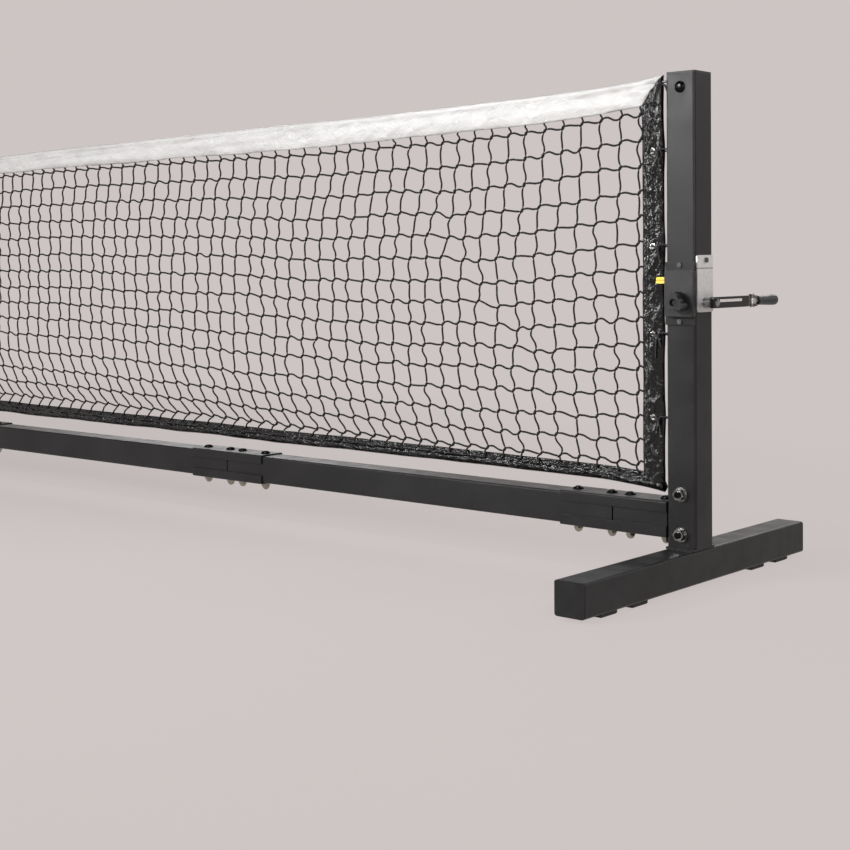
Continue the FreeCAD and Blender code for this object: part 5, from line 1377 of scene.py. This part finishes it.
    def build(self, finish: bpy.types.Material) -> list:
        """Makes the mesh in several pieces side by side.

        Args:
            finish: the black cord.

        Returns:
            The pieces, from left to right.
        """
        knots = self.knots()
        random = np.random.default_rng(self.seed + 1)
        columns, rows = knots.shape[:2]
        beside, above = np.array((0.0016, 0, 0.0017)), np.array((0.0014, 0, 0.0026))
        jobs: list = [[] for _ in range(self.pieces)]
        for i in range(columns):
            box = min(self.pieces - 1, i * self.pieces // columns)
            for j in range(rows):
                here = knots[i, j]
                inner_column, inner_row = 0 < i < columns - 1, 0 < j < rows - 1
                if inner_row and i < columns - 1:
                    wave = float(by_place(here[0], self.row_wave))
                    bow = self.bow(random, wave, 0.0007, 0.0002, 0.0007)
                    start = here + beside * (i > 0)
                    end = knots[i + 1, j] - beside * (i < columns - 2)
                    jobs[box].append(self.run(start, end, np.array((0, 0, 1)), bow))
                if inner_column and j < rows - 1:
                    bow = self.bow(random, 0.0020, 0.0012, -0.0004, 0.0020)
                    start = here + above * (j > 0)
                    end = knots[i, j + 1] - above * (j < rows - 2)
                    jobs[box].append(self.run(start, end, np.array((1, 0, 0)), bow))
                if inner_column and inner_row:
                    jobs[box].append(here)
        made = []
        for number, lines in enumerate(jobs, start=1):
            made.append(self.piece(f"net_mesh_{number}", lines, random, finish))
        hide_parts("net")
        return made

    def piece(self, name: str, lines: list, random: np.random.Generator,
              finish: bpy.types.Material) -> bpy.types.Object:
        """Makes one stretch of mesh from its runs of cord and its knots."""
        points, faces, flats = [], [], []
        total = 0
        for line in lines:
            if line.ndim == 1:
                some, quads, flat = self.tie(random)
                some = some + line
                quads = quads + total
            else:
                some, quads, flat = tube_grid(line, self.radius, self.sides, total)
            points.append(some)
            faces.append(quads)
            flats.append(flat)
            total += len(some)
        made = mesh_piece(name, np.concatenate(points), np.concatenate(faces), np.concatenate(flats), finish)
        settle(made)
        return made


@dataclass
class Strap:
    """A flat woven strap along a line in one plane, with rounded long edges."""

    name: str
    route: tuple
    width: float
    thick: float
    across_x: bool
    steps: int = 24
    ribs: int = 8

    def build(self, finish: bpy.types.Material) -> tuple:
        """Makes the strap.

        Args:
            finish: the woven strap.

        Returns:
            The strap and its length.
        """
        line = evenly(curve_line(self.name + "_route", self.route, self.steps), 0.004)
        wide = np.array((1.0, 0, 0)) if self.across_x else np.array((0, 1.0, 0))
        place = np.linspace(-0.5, 0.5, self.ribs + 1) * self.width
        points = line[:, None] + wide[None, None, :] * place[None, :, None]
        gone = distances(line)
        flat = np.stack([gone[:, None] * np.ones((1, len(place))), np.ones((len(line), 1)) * place], -1)
        made = strip(self.name, points, flat, finish)
        apply_modifier(made, "SOLIDIFY", thickness=self.thick, offset=0.0)
        apply_modifier(made, "BEVEL", width=self.thick * 0.3, segments=2, limit_method="ANGLE",
                       angle_limit=math.radians(60))
        return made, float(gone[-1])


@dataclass
class Straps:
    """The centre strap over the tape and under its anchor, and the two straps at the top corners."""

    width: float = 0.060
    corner_width: float = 0.012
    top: float = 0.8700
    half: float = 0.0062
    foot: float = 0.1622

    def centre(self, finish: bpy.types.Material) -> None:
        """Makes the white strap as one loop with its ends lapped at the back."""
        h, t, f = self.half, self.top, self.foot
        route = (
            (0, h + 0.0004, f + 0.070), (0, h, f + 0.030), (0, h * 0.9, f + 0.012), (0, 0.0035, f),
            (0, -0.0035, f), (0, -h * 0.9, f + 0.012), (0, -h, f + 0.030), (0, -h, 0.40), (0, -h, 0.70),
            (0, -h, t - 0.012), (0, -h * 0.9, t - 0.0005), (0, 0, t + 0.0006), (0, h * 0.9, t - 0.0005),
            (0, h, t - 0.012), (0, h, 0.70), (0, h, 0.40), (0, h - 0.0012, f + 0.040),
            (0, h - 0.0020, f + 0.030),
        )
        strap, length = Strap("centre_strap_loop", route, self.width, 0.0016, True).build(finish)
        settle(strap, "centre_strap")

    def corners(self, finish: bpy.types.Material) -> None:
        """Makes the short black straps from the net's top corners to the posts."""
        width = self.corner_width
        for side, sign in (("left", -1), ("right", 1)):
            route = tuple((sign * x, 0, z) for x, z in (
                (3.2985, 0.9085), (3.3045, 0.9070), (3.3100, 0.8950), (3.3150, 0.8800), (3.3190, 0.8722),
                (3.3222, 0.8702)))
            strap, length = Strap(f"{side}_corner_strap", route, width, 0.0014, False).build(finish)
            settle(strap, "net_ties")


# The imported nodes.
@dataclass
class ArmInlay:
    """A pale metal strip set in the slot of the crank arm: a painted highlight for the light caught along the
    slot.
    """

    floor: float = HALF_SPAN + 0.0551
    face: float = HALF_SPAN + 0.0566
    ends: tuple = (0.0112, 0.0898)
    middle: float = 0.515
    half: float = 0.0027
    rounding: float = 0.0010

    def build(self, finish: bpy.types.Material) -> bpy.types.Object:
        """Makes the strip.

        Args:
            finish: the bright metal of the painted highlight.

        Returns:
            The strip, riding on the crank.
        """
        select_none()
        bpy.ops.mesh.primitive_cube_add(size=1, location=(0, 0, 0))
        strip_piece = bpy.context.active_object
        strip_piece.name = "crank_arm_inlay"
        low, high = self.ends
        bpy.ops.object.mode_set(mode="EDIT")
        bpy.ops.mesh.select_all(action="SELECT")
        bpy.ops.transform.resize(value=(self.face - self.floor, high - low, 2 * self.half))
        bpy.ops.transform.translate(value=((self.face + self.floor) / 2, (low + high) / 2, self.middle))
        bpy.ops.mesh.bevel(offset=self.rounding / 2, segments=3, affect="EDGES")
        bpy.ops.object.mode_set(mode="OBJECT")
        strip_piece.data.materials.append(finish)
        settle(strip_piece, body="crank")
        return strip_piece


class Hardware:
    """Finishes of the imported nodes: steel, fittings, plastic and rubber."""

    def __init__(self) -> None:
        """Makes one material for each slot that stays in view, and those of single nodes."""
        self.by_slot = self.made(self.slot_finishes())
        self.by_node = self.made(self.node_finishes())

    @staticmethod
    def made(finishes: dict) -> dict:
        """Returns the material of each entry, which holds the material's name and its finish."""
        return {place: finish.material(name) for place, (name, finish) in finishes.items()}

    @staticmethod
    def metal(light: float, dark: float, shiny: float, dull: float) -> PlatedMetal:
        """Returns a grey metal between two tones and two roughnesses."""
        return PlatedMetal((light,) * 3, (dark,) * 3, (shiny, dull))

    def slot_finishes(self) -> dict:
        """Returns the name and the finish of each slot's material."""
        tab_low, tab_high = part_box("release_lever")
        return {
            "black_frame": ("black_powder_coat", PowderCoat()),
            "black_hardware": (
                "black_oxide", PlatedMetal((0.014, 0.014, 0.015), (0.009, 0.009, 0.009), (0.14, 0.24))),
            "zinc_hardware": (
                "bright_zinc", PlatedMetal((0.52, 0.52, 0.49), (0.22, 0.22, 0.20), (0.16, 0.32))),
            "dark_steel": ("dark_steel", PlatedMetal((0.16, 0.16, 0.165), (0.08, 0.08, 0.08), (0.3, 0.45))),
            # The crank plate's finish paints a line of shade across its fold at this height.
            "silver_plate": ("brushed_plate", PlatedMetal(
                (0.70, 0.70, 0.70), (0.60, 0.60, 0.59), (0.48, 0.60), (1, 14, 1), 0.0001,
                line_height=0.5735)),
            "bronze_bush": ("bronze", PlatedMetal((0.42, 0.26, 0.12), (0.28, 0.17, 0.08), (0.3, 0.45))),
            "black_plastic": ("black_plastic", Moulded()),
            "grip_plastic": ("grip_plastic", Moulded(
                (0.009, 0.009, 0.010), (0.016, 0.016, 0.017), (0.34, 0.46), 700, 0.00009)),
            # The release lever's plastic has painted shade along the groove across its middle.
            "yellow_plastic": ("yellow_plastic", Moulded(
                (0.86, 0.60, 0.04), (0.80, 0.54, 0.03), (0.3, 0.4), 1300, 0.00003, refraction=1.45,
                stripe=(0.62, 0.30, 0.01), stripe_height=(tab_low[2] + tab_high[2]) / 2)),
            "pad_rubber": ("pad_rubber", Moulded(
                (0.014, 0.014, 0.014), (0.024, 0.024, 0.024), (0.7, 0.85), 800, 0.0001)),
            "pulley_nylon": ("pulley_nylon", Moulded((0.62, 0.62, 0.58), (0.55, 0.55, 0.52), (0.4, 0.5))),
            "coated_cable": ("wound_cable_coat", TwistedCord(
                (0.05, 0.05, 0.052), (0.12, 0.12, 0.12), 0.02, 6, 0.0003, 0.3, metallic=0.6, coat=0.4)),
        }

    def node_finishes(self) -> dict:
        """Returns the name and the finish of each node that doesn't look like the rest of its slot."""
        return {
            "crank_arm": ("gloss_paint", PowderCoat(
                (0.005, 0.005, 0.0052), (0.008, 0.008, 0.0082), (0.14, 0.22), 500, 0.00001, 0.0012)),
            "crank_shaft": ("turned_steel", self.metal(0.30, 0.13, 0.2, 0.32)),
            "grip_clevis": ("dull_zinc", self.metal(0.16, 0.05, 0.16, 0.28)),
            "winch_screws": ("screw_steel", self.metal(0.13, 0.06, 0.22, 0.36)),
            "post_nuts": ("dark_zinc", PlatedMetal((0.30, 0.30, 0.29), (0.10, 0.10, 0.10), (0.14, 0.26))),
            "post_washers": (
                "washer_zinc", PlatedMetal((0.34, 0.34, 0.33), (0.14, 0.14, 0.14), (0.14, 0.26))),
            "splice_nuts": ("yellow_zinc", PlatedMetal((0.34, 0.33, 0.28), (0.20, 0.19, 0.16), (0.2, 0.34))),
            "foot_caps": ("cap_plastic", Moulded(
                (0.006, 0.006, 0.0062), (0.010, 0.010, 0.0105), (0.5, 0.62), 900, 0.00004, 0.0012, 1.34)),
            "lock_stud": ("stud_steel", self.metal(0.035, 0.02, 0.3, 0.45)),
            "winch_cover": ("cover_plastic", Moulded(
                (0.010, 0.010, 0.011), (0.017, 0.017, 0.018), (0.36, 0.5), 900, 0.00006, 0.0016)),
            "lock_knob": ("knob_plastic", Moulded(
                (0.008, 0.008, 0.009), (0.014, 0.014, 0.015), (0.26, 0.38), 900, 0.00004, 0.0016)),
        }

    def dress(self) -> None:
        """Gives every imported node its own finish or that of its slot."""
        slots = {part["node"]: part["material_slot"] for part in frame["record"]["subparts"]}
        for name, node in frame["nodes"].items():
            finish = self.by_node.get(name) or self.by_slot.get(slots.get(name, ""))
            if finish is None:
                continue
            node.data.materials.clear()
            node.data.materials.append(finish)
            LOG.info("dressed %s as %s", name, finish.name)


def main() -> None:
    """Builds the stage, the cords, the cloth and the finishes in order."""
    logging.basicConfig(level=logging.INFO, format="%(message)s")
    Stage().build()
    strand = TwistedCord((0.08, 0.08, 0.082), (0.2, 0.2, 0.2), 0.02, 6, 0.0003, 0.3, metallic=0.7, coat=0.3)
    strand_coat = strand.material("cable_strand")
    black_cord = TwistedCord(refraction=1.34).material("black_twine")
    cable = TensionCable().build(strand_coat)
    LOG.info("cable %s", cable.name)
    tie_cord = TwistedCord((0.012, 0.012, 0.013), (0.035, 0.035, 0.036), 0.006, 4, 0.0006, 0.5)
    ties = PostTies().build(tie_cord.material("tie_cord"))
    LOG.info("ties %d", len(ties))
    white = CoatedCloth(stitch_rows=(-0.0135, -0.0455, 0.0135, 0.0455)).material("white_vinyl")
    black = CoatedCloth(
        VINYL_BLACK, VINYL_WORN, roughness=(0.12, 0.19), crease=24, crease_depth=0.0024,
        stitch_rows=(-0.0425, -0.0385, 0.0425, 0.0385), thread=(0.05, 0.05, 0.05), stitch_pitch=0.004,
        refraction=1.40, crumple=0.0036, smooth_fold=0.028).material("black_vinyl")
    hem_vinyl = CoatedCloth(
        VINYL_BLACK, VINYL_WORN, roughness=(0.13, 0.20), crease=38, crease_depth=0.0018,
        stitch_rows=(-0.0165, 0.0165), thread=(0.03, 0.03, 0.03), stitch_pitch=0.004,
        refraction=1.42, crumple=0.0016, facet_scale=105).material("hem_vinyl")
    tape = TopTape().build(white)
    bands = [SideBand(sign).build(black) for sign in (-1, 1)]
    hem = BottomBand().build(hem_vinyl)
    net = Mesh().build(black_cord)
    LOG.info("cloth %s", [piece.name for piece in (tape, *bands, hem, *net)])
    straps = Straps()
    straps.centre(WovenBand((0.66, 0.66, 0.65), (0.80, 0.80, 0.79), 0.0022).material("white_webbing"))
    straps.corners(WovenBand().material("black_webbing"))
    Hardware().dress()
    # Painted highlight: a pale metal strip along the crank arm's slot, where the light catches it.
    bright = PlatedMetal((0.85, 0.85, 0.84), (0.75, 0.75, 0.74), (0.3, 0.4)).material("bright_strip")
    inlay = ArmInlay().build(bright)
    LOG.info("inlay %s", inlay.name)


if __name__ == "__main__":
    main()
